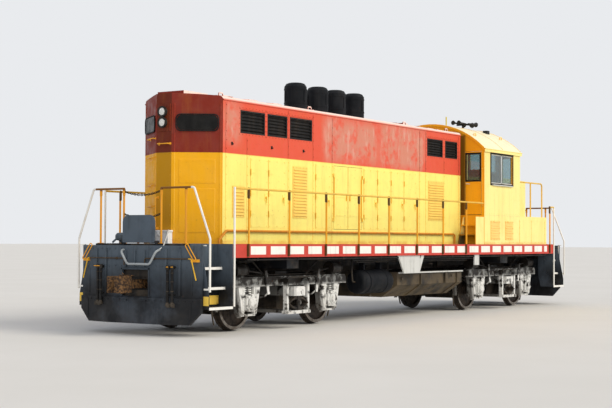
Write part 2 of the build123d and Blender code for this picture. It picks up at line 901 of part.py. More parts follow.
def roof_arc_height(y, radius_change=0):
    """Height of the cab roof's outer arc, or of an arc parallel to it, at a distance y from the middle."""
    rise = cab_roof_peak_z - cab_roof_edge_z
    radius = (cab_roof_half ** 2 + rise ** 2) / (2 * rise)
    centre = cab_roof_peak_z - radius
    return centre + sqrt((radius + radius_change) ** 2 - y ** 2)


def cab_section(half_width, low, radius_change):
    shoulder = roof_arc_height(half_width, radius_change)
    crown = roof_arc_height(0, radius_change)
    return make_face([
        Line((-half_width, low), (-half_width, shoulder)),
        ThreePointArc((-half_width, shoulder), (0, crown), (half_width, shoulder)),
        Line((half_width, shoulder), (half_width, low)),
        Line((half_width, low), (-half_width, low)),
    ])


def cab_door_hinge(end):
    """Hinge of the rear door (end -1, right side) or the front door (end 1, left side), inside the cab."""
    wall_inner = cab_rear_x + cab_wall if end < 0 else cab_front_x - cab_wall
    axis = (wall_inner - end * hinge_standoff, end * cab_door_y[1])
    return hinge(axis, (0, -end), (-end, 0), cab_door_z)


def cab_windows():
    """Window holes in the cab's walls: x ends, y ends and z ends of each, as cut."""
    through_side = (cab_half_width - cab_wall, cab_half_width)
    front_wall = (cab_front_x - cab_wall, cab_front_x)
    rear_wall = (cab_rear_x, cab_rear_x + cab_wall)
    pane_y = (cab_door_y[0] + door_pane_margin, cab_door_y[1] - door_pane_margin)
    holes = []
    for side in (-1, 1):
        holes.append((side_window_x, [side * y for y in through_side], side_window_z))
        holes.append((front_wall, [side * y for y in front_window_y], front_window_z))
    holes.append((front_wall, [-y for y in pane_y], door_pane_z))
    holes.append((rear_wall, pane_y, door_pane_z))
    return holes


def cab_walls():
    length = cab_front_x - cab_rear_x
    section = cab_section(cab_half_width, cab_floor_top, -cab_roof_plate)
    walls = Pos(cab_rear_x, 0, 0) * extrude(Plane.YZ * section, length, dir=(1, 0, 0))
    room_x = (cab_rear_x + cab_wall, cab_front_x - cab_wall)
    room_y = (cab_wall - cab_half_width, cab_half_width - cab_wall)
    walls -= block(room_x, room_y, (cab_floor_top - 1, cab_roof_peak_z + 1))
    for x_ends, y_ends, z_ends in cab_windows():
        walls -= block(x_ends, y_ends, z_ends)
    for end in (-1, 1):
        wall_x = (cab_rear_x, cab_rear_x + cab_wall) if end < 0 else (cab_front_x - cab_wall, cab_front_x)
        hole_y = [end * y for y in cab_door_y]
        walls -= block(wall_x, hole_y, (cab_floor_top, cab_door_z[1] + moving_gap))
        for lug in cab_door_hinge(end)[0]:
            walls += lug
    return walls


def cab_door(end):
    """A cab door leaf with its window hole."""
    wall_x = (cab_rear_x, cab_rear_x + cab_wall) if end < 0 else (cab_front_x - cab_wall, cab_front_x)
    leaf_y = (end * (cab_door_y[0] + moving_gap), end * (cab_door_y[1] - moving_gap))
    leaf = block(wall_x, leaf_y, cab_door_z)
    pane_y = [end * (cab_door_y[0] + door_pane_margin), end * (cab_door_y[1] - door_pane_margin)]
    leaf -= block(wall_x, pane_y, door_pane_z)
    knob_y = end * (cab_door_y[0] + door_knob_inset)
    knob_z = cab_floor_top + door_knob_height
    knob_x = cab_rear_x if end < 0 else cab_front_x
    leaf += rod((knob_x, knob_y, knob_z), (knob_x + end * door_knob_length, knob_y, knob_z), door_knob_radius)
    return leaf + cab_door_hinge(end)[1]


def pane(x_ends, y_ends, z_ends):
    """A sheet of glass in the middle of the wall, across the wall's thin direction."""
    spans = [sorted(x_ends), sorted(y_ends), sorted(z_ends)]
    thin = min((0, 1), key=lambda axis: spans[axis][1] - spans[axis][0])
    middle = sum(spans[thin]) / 2
    spans[thin] = (middle - pane_thickness / 2, middle + pane_thickness / 2)
    return block(*spans)


def cab_door_pane(end):
    wall_x = (cab_rear_x, cab_rear_x + cab_wall) if end < 0 else (cab_front_x - cab_wall, cab_front_x)
    pane_y = [end * (cab_door_y[0] + door_pane_margin), end * (cab_door_y[1] - door_pane_margin)]
    return pane(wall_x, pane_y, door_pane_z)


def cab_roof():
    length = cab_front_x - cab_rear_x + cab_roof_rear_overhang + cab_roof_front_overhang
    outer = cab_section(cab_roof_half, cab_roof_edge_z - cab_roof_skirt, 0)
    inner_low = cab_roof_edge_z - 1.5 * cab_roof_skirt
    inner = cab_section(cab_roof_half + cab_roof_trim, inner_low, -cab_roof_plate)
    shell = Plane.YZ * outer - Plane.YZ * inner
    return Pos(cab_rear_x - cab_roof_rear_overhang, 0, 0) * extrude(shell, length, dir=(1, 0, 0))


def cab_floor():
    """The floor on its beams, with the steps that climb from each walkway to a cab door."""
    under = cab_floor_top - cab_floor_plate
    floor = block((cab_rear_x, cab_front_x), (-cab_half_width, cab_half_width), (under, cab_floor_top))
    beam_outer = hood_half_width - beam_inset
    front_x = cab_front_x - beam_inset
    for side in (-1, 1):
        beam_y = (side * (beam_outer - floor_beam_width), side * beam_outer)
        floor += block((cab_rear_x, front_x), beam_y, (deck_top, under))
    for wall_x in ((cab_rear_x, cab_rear_x + floor_end_plate), (front_x - floor_end_plate, front_x)):
        floor += block(wall_x, (-beam_outer, beam_outer), (deck_top, under))
    stringer_profile = [(cab_rear_x, deck_top), (cab_rear_x, under), (cab_rear_x - cab_step_nose, under),
                        (cab_step_x, deck_top + cab_step_toe), (cab_step_x, deck_top)]
    inner_y = hood_half_width + cab_step_gap
    outer_y = cab_half_width - beam_inset
    side_x = (cab_rear_x - cab_step_side, cab_rear_x)
    for side in (-1, 1):
        floor += side_solid(stringer_profile, sorted((side * inner_y, side * (inner_y + step_plate))))
        floor += block(side_x, (side * (outer_y - step_plate), side * outer_y), (deck_top, under))
        for index, height in enumerate(cab_step_heights):
            tread_x = (cab_step_x + step_plate + cab_step_run * index, cab_rear_x)
            floor += block(tread_x, (side * inner_y, side * outer_y), (up(height) - cab_tread, up(height)))
    return floor


def cab_seat():
    """A pedestal seat at the left side window."""
    cushion_low = cab_floor_top + seat_height
    cushion_top = cushion_low + seat_cushion
    rear_x, front_x = [seat_x + reach for reach in seat_length]
    back_top = cushion_low + seat_back_height
    post = rod((seat_x, seat_y, cab_floor_top), (seat_x, seat_y, cushion_low), seat_post_radius)
    foot = rod((seat_x, seat_y, cab_floor_top), (seat_x, seat_y, cab_floor_top + seat_foot_thickness),
               seat_foot_radius)
    cushion = block((rear_x, front_x), (seat_y - seat_half_width, seat_y + seat_half_width),
                    (cushion_low, cushion_top))
    face_x = rear_x + seat_back_thickness
    back = side_solid([(rear_x, cushion_top), (face_x, cushion_top),
                       (face_x - seat_back_lean, back_top), (rear_x - seat_back_lean, back_top)],
                      (seat_y - seat_back_half, seat_y + seat_back_half))
    arm_y = seat_y - seat_half_width
    arms = block([seat_x + reach for reach in arm_rest_x], (arm_y - arm_rest_width, arm_y),
                 [cab_floor_top + height for height in arm_rest_heights])
    return post + foot + fillet(cushion.edges(), seat_edge_radius) + back + arms


def control_stand():
    """The driver's desk to the left of the right-hand seat, with its levers."""
    base = side_solid([(desk_x + along, cab_floor_top + height) for along, height in desk_table], desk_y)
    for along, height in lever_table:
        lever_x, lever_z = desk_x + along, cab_floor_top + height
        base += rod((lever_x, desk_y[0], lever_z), (lever_x, desk_y[0] - lever_length, lever_z + lever_rise),
                    lever_radius)
    return base


def nose_profile(inset):
    return [
        (cab_front_x + (inset if inset else 0), deck_top - (1 if inset else 0)),
        (nose_front_x - inset, deck_top - (1 if inset else 0)),
        (nose_front_x - inset, nose_top_front - nose_brow - inset / 2),
        (nose_front_x - nose_brow - inset / 2, nose_top_front - inset),
        (cab_front_x + (inset if inset else 0), nose_top_cab - inset),
    ]


def nose():
    outer = side_solid(nose_profile(0), (-hood_half_width, hood_half_width))
    uprights = outer.edges().filter_by(Axis.Z).group_by(Axis.X)[-1]
    outer = chamfer(uprights, nose_corner)
    inner_half = hood_half_width - hood_wall
    inner = side_solid(nose_profile(hood_wall), (-inner_half, inner_half))
    uprights = inner.edges().filter_by(Axis.Z).group_by(Axis.X)[-1]
    return outer - chamfer(uprights, nose_corner)


def battery_box():
    """The long box beside the nose and under the cab's left edge, with two louvred doors."""
    inner_y = hood_half_width
    under = cab_floor_top - cab_floor_plate
    box = block((cab_rear_x, battery_front_x), (inner_y, cab_half_width), (deck_top, under))
    box += block((cab_front_x, battery_front_x), (inner_y, cab_half_width), (under, cab_floor_top))
    out_y = cab_half_width + panel_thickness
    door_z = (deck_top + battery_door_foot, under - battery_door_head)
    for first, last in battery_door_table:
        x_ends = (cab_rear_x + first, cab_rear_x + last)
        box += block(x_ends, (cab_half_width, out_y), door_z)
        for fin in louvres(x_ends, door_z, out_y, louvre_proud / 2, battery_louvre_margin):
            box += fin
    return box


def handrail_posts():
    """The left side's posts, from the sill up to the underside of the rails."""
    post_y = half_sill + rail_radius
    post_top = rail_top - rail_radius - seat_gap
    return [rod((post_x, post_y, post_foot_z), (post_x, post_y, post_top), rail_radius)
            for post_x in (*[hood_x(place) for place in post_places], front_post_x)]


def side_handrail():
    """The left walkway's rail from the rear steps to the cab, and the short rails ahead of the cab."""
    rail_y = half_sill + rail_radius
    start = (-well_x + rail_radius * 2 + seat_gap, rail_y, rail_top)
    cab_y = cab_half_width - rail_cab_inset
    jog_start = (cab_rear_x - rail_jog_start, rail_y, rail_top)
    jog_end = (cab_rear_x - rail_jog_end, cab_y, rail_top)
    rail = rod(start, jog_start, rail_radius)
    rail += rod(jog_start, jog_end, rail_radius) + rod(jog_end, (cab_rear_x, cab_y, rail_top), rail_radius)
    rail += Pos(*jog_start) * Sphere(rail_radius)
    rail += Pos(*jog_end) * Sphere(rail_radius)
    front_end_x = well_x - rail_radius * 2 - seat_gap
    front = rod((front_post_x, rail_y, rail_top), (front_end_x, rail_y, rail_top), rail_radius)
    front += Pos(front_post_x, rail_y, rail_top) * Sphere(rail_radius)
    nose_y = cab_half_width - nose_rail_inset
    nose_rail = pipe([(cab_front_x, nose_y, nose_rail_z), (nose_rail_front, nose_y, nose_rail_z),
                      (nose_rail_front, nose_y, cab_floor_top)], rail_radius, nose_rail_bend)
    middle_x = (cab_front_x + nose_rail_front) / 2
    nose_rail += rod((middle_x, nose_y, cab_floor_top), (middle_x, nose_y, nose_rail_z), rail_radius)
    return [rail, front, nose_rail]


def step_rails():
    """White grab rails beside the steps, at the front left corner."""
    rail_y = half_sill + rail_radius
    bottom_tread_z = up(tread_table[0][0])
    upright = rod((step_post_x, rail_y, bottom_tread_z), (step_post_x, rail_y, rail_top + rail_radius),
                  rail_radius)
    top_y = end_rail_out + seat_gap
    slope = pipe([(grab_x, top_y, rail_top), (grab_x, top_y + grab_shoulder, rail_top),
                  (grab_x, rail_y, grab_elbow), (grab_x, rail_y, grab_low)], rail_radius, grab_bend)
    slope += block((half_body - step_end_inset, grab_x + moving_gap), (half_sill - grab_foot_reach, rail_y),
                   (grab_low + grab_foot[0], grab_low + grab_foot[1]))
    return [upright, slope]


def end_handrail():
    """The left half of the front end's rail: two posts on the deck and the top rail."""
    rail = rod((end_rail_x, end_post_table[0], rail_top), (end_rail_x, end_rail_out, rail_top), rail_radius)
    rail += Pos(end_rail_x, end_post_table[0], rail_top) * Sphere(rail_radius)
    for post_y in end_post_table:
        rail += rod((end_rail_x, post_y, deck_top), (end_rail_x, post_y, rail_top), rail_radius)
    return rail


def drop_step_hinge():
    return half_body + drop_step_reach, deck_top + drop_step_lift


def drop_step(end):
    """The plate that bridges to the next vehicle, stored upright on its hinge."""
    hinge_x, hinge_z = drop_step_hinge()
    half_plate = drop_step_plate / 2
    plate = block((hinge_x - half_plate, hinge_x + half_plate), (-drop_step_half, drop_step_half),
                  (hinge_z, deck_top + drop_step_height))
    tops = plate.edges().filter_by(Axis.X).group_by(Axis.Z)[-1]
    plate = fillet(tops, drop_step_height / 4)
    pin_half = (drop_step_ear[0] + drop_step_ear[1]) / 2 + drop_step_lift / 4
    plate += rod((hinge_x, -drop_step_half, hinge_z), (hinge_x, drop_step_half, hinge_z), drop_step_knuckle)
    plate += rod((hinge_x, -pin_half, hinge_z), (hinge_x, pin_half, hinge_z), drop_step_pin)
    return plate if end > 0 else Rot(0, 0, 180) * plate


def drop_step_brackets():
    """Ears on the deck's edge that hold the drop step's pin, at the front end."""
    hinge_x, hinge_z = drop_step_hinge()
    ears = []
    for side in (-1, 1):
        inner_y, outer_y = [side * y for y in drop_step_ear]
        ear = rod((hinge_x, inner_y, hinge_z), (hinge_x, outer_y, hinge_z), drop_step_ear_radius)
        ear_z = (deck_top, hinge_z + drop_step_ear_radius)
        ear += block((half_body - sill_plate, hinge_x), (inner_y, outer_y), ear_z)
        ear += block((half_body, hinge_x), (inner_y, outer_y), (deck_top - sill_plate, deck_top))
        ear -= rod((hinge_x, inner_y - side, hinge_z), (hinge_x, outer_y + side, hinge_z),
                   drop_step_pin + running_gap)
        ears.append(ear)
    return ears


def headlights():
    """Twin lamps: one above the other on the long hood's end, side by side over the front windows."""
    lamps = []
    for lamp_z in [up(height) for height in rear_lamp_heights]:
        lamps.append(rod((hood_end_x, 0, lamp_z), (hood_end_x - rear_lamp_depth, 0, lamp_z), lamp_radius))
    front_z = up(front_lamp_height)
    for lamp_y in (-front_lamp_offset, front_lamp_offset):
        lamps.append(rod((cab_front_x, lamp_y, front_z), (cab_front_x + front_lamp_depth, lamp_y, front_z),
                         lamp_radius))
    return lamps


def number_boards():
    """Blank boards on the long hood's slanted corners and on the cab's front."""
    corner = Vector(hood_corner_x, hood_half_width, 0)
    end = Vector(hood_end_x, hood_end_half, 0)
    along = (corner - end).normalized()
    outward = Vector(-along.Y, along.X, 0)
    middle = (corner + end) / 2 + Vector(0, 0, up(corner_board_height))
    board_face = Plane(origin=middle, x_dir=along, z_dir=outward)
    board = extrude(board_face * RectangleRounded(*corner_board), board_thickness)
    front_y, front_height = cab_board_place
    front_face = Plane(origin=(cab_front_x, front_y, up(front_height)), x_dir=(0, 1, 0), z_dir=(1, 0, 0))
    front = extrude(front_face * RectangleRounded(*cab_board), board_thickness)
    return both_sides(board, front)


def cab_top():
    """The whole cab as one solid, to cut what stands on its arched roof."""
    return Pos(cab_rear_x, 0, 0) * extrude(Plane.YZ * cab_section(cab_half_width, cab_floor_top, 0),
                                           cab_front_x - cab_rear_x, dir=(1, 0, 0))


def horn():
    """Five trumpets side by side on a bar over the right half of the cab's roof."""
    half_bar = horn_bar / 2
    bar_low = cab_roof_peak_z + horn_lift
    trumpet_z = bar_low + horn_bar
    reach = max(abs(y) for y, length, bell in horn_table) + half_bar
    bar_x = (horn_x - half_bar, horn_x + half_bar)
    body = block(bar_x, (horn_y - reach, horn_y + reach), (bar_low, trumpet_z))
    foot_low = roof_arc_height(abs(horn_y) + horn_bar)
    body += block(bar_x, (horn_y - half_bar, horn_y + half_bar), (foot_low, bar_low)) - cab_top()
    for y, length, bell in horn_table:
        trumpet = revolve(Plane.XZ * Polygon((0, 0), (horn_throat, 0), (horn_throat * 1.4, abs(length) * 0.7),
                                             (bell, abs(length)), (0, abs(length)), align=None), Axis.Z)
        turn = 90 if length > 0 else -90
        body += Pos(horn_x, horn_y + y, trumpet_z) * Rot(0, turn, 0) * trumpet
    return body


def roof_fittings():
    """Lifting lugs, hatches and small boxes on the hood's roof, a box and an aerial on the cab's."""
    pieces = []
    for x, length, width, height in hood_fitting_table:
        piece = block((x - length / 2, x + length / 2), (-width / 2, width / 2),
                      (hood_crown_z - hood_wall, hood_crown_z + height))
        pieces.append(piece - hood_roof_prism(0))
    box_x, box_y = roof_box_place
    half_length, half_width = roof_box_half
    box_z = [roof_arc_height(box_y) + height for height in roof_box_heights]
    box = block((box_x - half_length, box_x + half_length), (box_y - half_width, box_y + half_width), box_z)
    post_x, post_y = antenna_place
    post_z = roof_arc_height(post_y)
    post = rod((post_x, post_y, post_z - antenna_foot), (post_x, post_y, post_z + antenna_height),
               antenna_radius)
    return pieces + [box - cab_top(), post - cab_top()]


def foot_pipe():
    """The sanding and air pipe along the foot of the hood's left side, from deck to deck."""
    pipe_y = hood_half_width + foot_pipe_standoff
    end_x = hood_corner_x - 2 * foot_pipe_bend
    run = pipe([(foot_pipe_front_x, pipe_y, deck_top), (foot_pipe_front_x, pipe_y, foot_pipe_z),
                (hood_corner_x + foot_pipe_bend, pipe_y, foot_pipe_z),
                (end_x, pipe_y, deck_top + foot_pipe_bend), (end_x, pipe_y, deck_top)],
               foot_pipe_radius, foot_pipe_bend)
    half_clip = foot_pipe_clip / 2
    for clip_x in [hood_x(place) for place in foot_pipe_clips]:
        run += block((clip_x - half_clip, clip_x + half_clip), (hood_half_width, pipe_y),
                     (foot_pipe_z - half_clip, foot_pipe_z + half_clip))
    return run


def air_reservoir():
    """A round air tank with domed ends, hung by two straps under the left side."""
    x_low, x_high = reservoir_x
    tank = rod((x_low, reservoir_y, reservoir_z), (x_high, reservoir_y, reservoir_z), reservoir_radius)
    tank = fillet(tank.edges(), reservoir_dome)
    hanger_y = (reservoir_y - reservoir_hanger_half, reservoir_y + reservoir_hanger_half)
    for strap_x in (x_low + reservoir_strap_inset, x_high - reservoir_strap_inset):
        strap_ends = (strap_x - reservoir_strap_half, strap_x + reservoir_strap_half)
        tank += rod((strap_ends[0], reservoir_y, reservoir_z), (strap_ends[1], reservoir_y, reservoir_z),
                    reservoir_radius + reservoir_strap_proud)
        tank += block(strap_ends, hanger_y, (reservoir_z, deck_under))
    return tank


def fuel_tank():
    side_low = tank_low + tank_side_low
    floor_half = tank_half_width - tank_bevel
    section = [(-tank_half_width, tank_high), (-tank_half_width, side_low), (-floor_half, tank_low),
               (floor_half, tank_low), (tank_half_width, side_low), (tank_half_width, tank_high)]
    tank = cross_solid(section, tank_x)
    for saddle_x in (tank_x[0] + tank_saddle_inset, tank_x[1] - tank_saddle_inset):
        tank += block((saddle_x - tank_saddle_half, saddle_x + tank_saddle_half),
                      (-centre_sill_width / 2, centre_sill_width / 2), (tank_high, centre_sill_bottom))
    filler_x = tank_x[0] + filler_place
    filler_low_y, filler_high_y = [tank_half_width - inset for inset in filler_inset]
    return tank + rod((filler_x, filler_low_y, tank_high), (filler_x, filler_high_y, tank_high + filler_height),
                      filler_radius)


def hanger_plates():
    """White plates under the left side sill: the wide tapered one and the jacking pad."""
    plate_y = [half_sill - inset for inset in hanger_plate_inset]
    top_rear, top_front = tapered_plate_x
    foot_rear, foot_front = tapered_plate_foot
    tapered = side_solid([(top_rear, sill_bottom), (top_front, sill_bottom), (foot_front, tapered_plate_low),
                          (foot_rear, tapered_plate_low)], plate_y)
    return [tapered, block(jacking_pad_x, plate_y, (jacking_pad_low, sill_bottom))]


def uncoupling_lever():
    """The bent lever on the front pilot's left half."""
    face_x = pilot_face_x + lever_off
    wing_x = pilot_wing_x + lever_off + lever_wing_off
    start_z, bar_z, grip_z = lever_bend_heights
    start_y, centre_y, wing_y, grip_y = lever_across
    lever = pipe([(face_x, start_y, start_z), (face_x, start_y, bar_z), (face_x, centre_y, bar_z),
                  (wing_x, wing_y, bar_z), (wing_x, grip_y, grip_z)], lever_bar, lever_bend)
    bracket_z = (bar_z - lever_bracket_half, bar_z + lever_bracket_half)
    bracket = block((pilot_face_x, face_x), lever_bracket_y, bracket_z)
    return lever + bracket


def end_hoses():
    """Air hoses held in their rests on the front pilot, and the jumper cable across its middle."""
    plate = pilot()
    pieces = []
    clip_z, root_z = hose_rest_heights
    for hose_y in [side * place for side in (-1, 1) for place in hose_places]:
        hose_x = pilot_face_at(hose_y) + hose_off
        hose = rod((hose_x - hose_root, hose_y, root_z), (hose_x, hose_y, root_z), hose_radius)
        hose += rod((hose_x, hose_y, hose_heights[1]), (hose_x, hose_y, hose_heights[0]), hose_radius)
        hose += rod((hose_x - hose_root, hose_y, clip_z), (hose_x, hose_y, clip_z), hose_clip_radius)
        pieces.append(hose - plate)
    front_x = pilot_face_x + jumper_off
    right_y, low_right_y, low_left_y, left_y = jumper_across
    pieces.append(pipe([(pilot_face_x, right_y, jumper_socket_z), (front_x, right_y, jumper_socket_z),
                        (front_x, low_right_y, jumper_low_z), (front_x, low_left_y, jumper_low_z),
                        (front_x, left_y, jumper_socket_z), (pilot_face_x, left_y, jumper_socket_z)],
                       jumper_radius, jumper_bend))
    return pieces


def engine_block():
    return block(engine_x, (-engine_half_width, engine_half_width), (deck_top, engine_high))


def wheelset():
    """Axle and both wheels as one turned piece, about the Y axis."""
    tread_edge = wheel_inner_y + flange_width
    rim_inside = tread_radius - rim_thickness
    web_middle = wheel_inner_y + rim_width / 2
    web_inner, web_outer = web_middle - web_thickness / 2, web_middle + web_thickness / 2
    hub_inner, hub_outer = wheel_inner_y - hub_inner_overhang, wheel_outer_y + hub_overhang
    flange = [(flange_radius - under, wheel_inner_y + across) for across, under in flange_table]
    half = [
        (axle_radius, hub_inner), (hub_radius, hub_inner), (hub_radius, web_inner), (rim_inside, web_inner),
        (rim_inside, wheel_inner_y), *flange,
        (tread_radius + tread_shoulder, tread_edge), (tread_radius, tread_edge + tread_run),
        (tread_radius - tread_taper, wheel_outer_y), (rim_inside, wheel_outer_y),
        (rim_inside, web_outer), (hub_radius, web_outer), (hub_radius, hub_outer), (journal_radius, hub_outer),
        (journal_radius, journal_end), (0, journal_end),
    ]
    outline = half + [(radius, -y) for radius, y in reversed(half)]
    return revolve(Polygon(*outline, align=None), Axis.Y)


def truck_frame():
    """Two side frames with pedestals, the two middle transoms and the end transoms."""
    top_half = frame_half_length - frame_end_slope
    end_top = frame_top - frame_end_slope
    profile = side_solid([(-frame_half_length, frame_under), (frame_half_length, frame_under),
                          (frame_half_length, end_top), (top_half, frame_top),
                          (-top_half, frame_top), (-frame_half_length, end_top)],
                         (frame_inner_y, frame_outer_y))
    foot_length = pedestal_leg * pedestal_foot_share
    for end in (-1, 1):
        axle_x = end * truck_wheelbase / 2
        for leg in (-1, 1):
            near = axle_x + leg * box_half_width
            far = near + leg * pedestal_leg
            foot_far = near + leg * foot_length
            top_far = far + leg * pedestal_flare
            profile += side_solid([(near, frame_under + 1), (near, pedestal_foot), (foot_far, pedestal_foot),
                                   (far, pedestal_foot + pedestal_slope), (top_far, frame_under + 1)],
                                  (frame_inner_y, frame_outer_y))
        reach = box_half_width + foot_length
        tie_y = (frame_inner_y + pedestal_tie_inset, frame_outer_y - pedestal_tie_inset)
        profile += block((axle_x - reach, axle_x + reach), tie_y, (pedestal_foot - pedestal_tie, pedestal_foot))
    frame = profile + mirror(profile, Plane.XZ)
    for middle_x in (-transom_x, transom_x):
        frame += block((middle_x - transom_width / 2, middle_x + transom_width / 2),
                       (-frame_inner_y, frame_inner_y), (frame_under, frame_top))
    for end in (-1, 1):
        transom_x_ends = (end * (frame_half_length - end_transom_width), end * frame_half_length)
        transom_z = (frame_under + end_transom_lift, end_top)
        frame += block(transom_x_ends, (-frame_inner_y, frame_inner_y), transom_z)
    return frame


def axle_boxes():
    boxes = []
    for end in (-1, 1):
        axle_x = end * truck_wheelbase / 2
        x_ends = (axle_x - box_half_width, axle_x + box_half_width)
        box = block(x_ends, (box_inner_y, box_outer_y), (box_low, box_high))
        cover_y = box_outer_y + box_cover_depth
        box += rod((axle_x, box_outer_y, axle_z), (axle_x, cover_y, axle_z), box_cover_radius)
        bore_end_y = journal_end + box_end_clearance
        bore_radius = journal_radius + running_gap
        box -= rod((axle_x, box_inner_y - 1, axle_z), (axle_x, bore_end_y, axle_z), bore_radius)
        boxes.append(box)
    return both_sides(*boxes)


def truck_springs():
    """Coil springs over the axle boxes, and the leaf springs under the bolster's ends."""
    springs = []
    coil_low, coil_high = box_high, frame_under
    turn = (coil_high - coil_low) / coil_turns
    wire_start, wire_end, groove = coil_wire_shares
    for end in (-1, 1):
        for place in (-1, 1):
            points = [(0, coil_low)]
            for index in range(coil_turns):
                base = coil_low + index * turn
                points += [(coil_radius, base + turn * wire_start), (coil_radius, base + turn * wire_end),
                           (coil_radius - coil_groove, base + turn * groove)]
            points[-1] = (coil_radius - coil_groove / 2, coil_high)
            points.append((0, coil_high))
            coil = revolve(Plane.XZ * Polygon(*points, align=None), Axis.Z)
            middle_y = (frame_inner_y + frame_outer_y) / 2
            springs.append(Pos(end * truck_wheelbase / 2 + place * coil_offset, middle_y, 0) * coil)
    low, high = plank_high, truck_bolster_low
    middle = (low + high) / 2
    outer = make_face([ThreePointArc((-leaf_half_length, middle), (0, high), (leaf_half_length, middle)),
                       ThreePointArc((leaf_half_length, middle), (0, low), (-leaf_half_length, middle))])
    inner_reach = leaf_half_length - leaf_end
    inner = make_face([ThreePointArc((-inner_reach, middle), (0, high - leaf_pack), (inner_reach, middle)),
                       ThreePointArc((inner_reach, middle), (0, low + leaf_pack), (-inner_reach, middle))])
    leaf = extrude(Plane.XZ * (outer - inner), leaf_width)
    springs.append(Pos(0, (hanger_inner_y + hanger_outer_y + leaf_width) / 2, 0) * leaf)
    return both_sides(*springs)


def truck_bolster():
    """The bolster with its centre plate, and the spring plank with its four swing hangers."""
    half = truck_bolster_half
    bolster = block((-half, half), (-truck_bolster_end, truck_bolster_end),
                    (truck_bolster_low, truck_bolster_high))
    neck_y = frame_inner_y - centre_neck_inset
    bolster += block((-half, half), (-neck_y, neck_y), (truck_bolster_high, centre_neck_top))
    bolster += rod((0, 0, centre_neck_top), (0, 0, centre_sill_bottom - seat_gap), centre_plate_radius)
    plank = block((-plank_half, plank_half), (-hanger_outer_y, hanger_outer_y), (plank_low, plank_high))
    pin_z = hanger_top - hanger_pin_drop
    for side in (-1, 1):
        plank += block((-hanger_x - hanger_width / 2, hanger_x + hanger_width / 2),
                       (side * hanger_inner_y, side * hanger_outer_y), (plank_low, plank_high))
        for place in (-1, 1):
            leg_x = place * hanger_x
            leg_y = (side * (hanger_inner_y + hanger_leg_inset), side * (hanger_outer_y - hanger_leg_inset))
            plank += block((leg_x - hanger_width / 2, leg_x + hanger_width / 2), leg_y, (plank_low, hanger_top))
            plank += rod((leg_x, side * frame_outer_y, pin_z), (leg_x, side * hanger_outer_y, pin_z),
                         hanger_pin_radius)
    return [bolster, plank]


def truck_brakes():
    """Brake cylinders on the side frames, and a shoe with its hanger at both sides of each wheel."""
    pieces = []
    middle_y = (frame_inner_y + frame_outer_y) / 2
    cylinder_z = frame_top + brake_cylinder_radius
    tread_y = wheel_inner_y + (flange_width + rim_width) / 2
    for end in (-1, 1):
        axle_x = end * truck_wheelbase / 2
        x = end * brake_cylinder_x
        cylinder = rod((x - brake_cylinder_length / 2, middle_y, cylinder_z),
                       (x + brake_cylinder_length / 2, middle_y, cylinder_z), brake_cylinder_radius)
        cylinder = fillet(cylinder.edges(), cylinder_edge)
        foot_x, foot_y = cylinder_foot
        foot_y_ends = (middle_y - foot_y, middle_y + foot_y)
        cylinder += block((x - foot_x, x + foot_x), foot_y_ends, (frame_top, cylinder_z))
        pieces.append(cylinder)
        for place in (-1, 1):
            shoe_z = (axle_z - shoe_height / 2, axle_z + shoe_height / 2)
            near = axle_x + place * (tread_radius - shoe_wrap)
            far = axle_x + place * (tread_radius + shoe_gap + shoe_thickness)
            shoe = block((near, far), (tread_y - shoe_width / 2, tread_y + shoe_width / 2), shoe_z)
            shoe -= rod((axle_x, tread_y - shoe_width, axle_z), (axle_x, tread_y + shoe_width, axle_z),
                        tread_radius + shoe_gap)
            outer = place == end
            top_z = frame_under + (end_transom_lift if outer else shoe_hanger_rise)
            hanger_y = (tread_y - shoe_hanger_half, tread_y + shoe_hanger_half)
            hanger = block((far - place * shoe_hanger_thickness, far), hanger_y, (axle_z, top_z))
            if not outer:
                pin_x, pin_z = far - place * shoe_hanger_thickness / 2, frame_under + shoe_pin_rise
                hanger += rod((pin_x, hanger_y[0], pin_z), (pin_x, frame_inner_y, pin_z), shoe_pin_radius)
            pieces.append(shoe + hanger)
    return both_sides(*pieces)


def truck_motors():
    """An axle-hung motor with its gear case for each axle, inboard of the axle."""
    motors = []
    for end in (-1, 1):
        axle_x = end * truck_wheelbase / 2
        near = axle_x - end * (motor_bearing_radius - motor_bearing_lap)
        far = axle_x - end * (motor_bearing_radius + motor_length)
        motor = block((near, far), (-motor_half_width, motor_half_width), (motor_low, motor_high))
        motor = chamfer(motor.edges().filter_by(Axis.Y), motor_chamfer)
        motor += rod((axle_x, -motor_half_width, axle_z), (axle_x, motor_half_width, axle_z),
                     motor_bearing_radius)
        case_ahead, case_behind = gear_case_reach
        case_y = motor_half_width + gear_case_width
        case = block((axle_x + end * case_ahead, axle_x - end * case_behind), (motor_half_width, case_y),
                     (axle_z - gear_case_half_height, axle_z + gear_case_half_height))
        motor += chamfer(case.edges().filter_by(Axis.Y), gear_case_chamfer)
        motor -= rod((axle_x, -motor_half_width - 1, axle_z), (axle_x, case_y + 1, axle_z),
                     axle_radius + running_gap)
        motors.append(motor)
    return motors


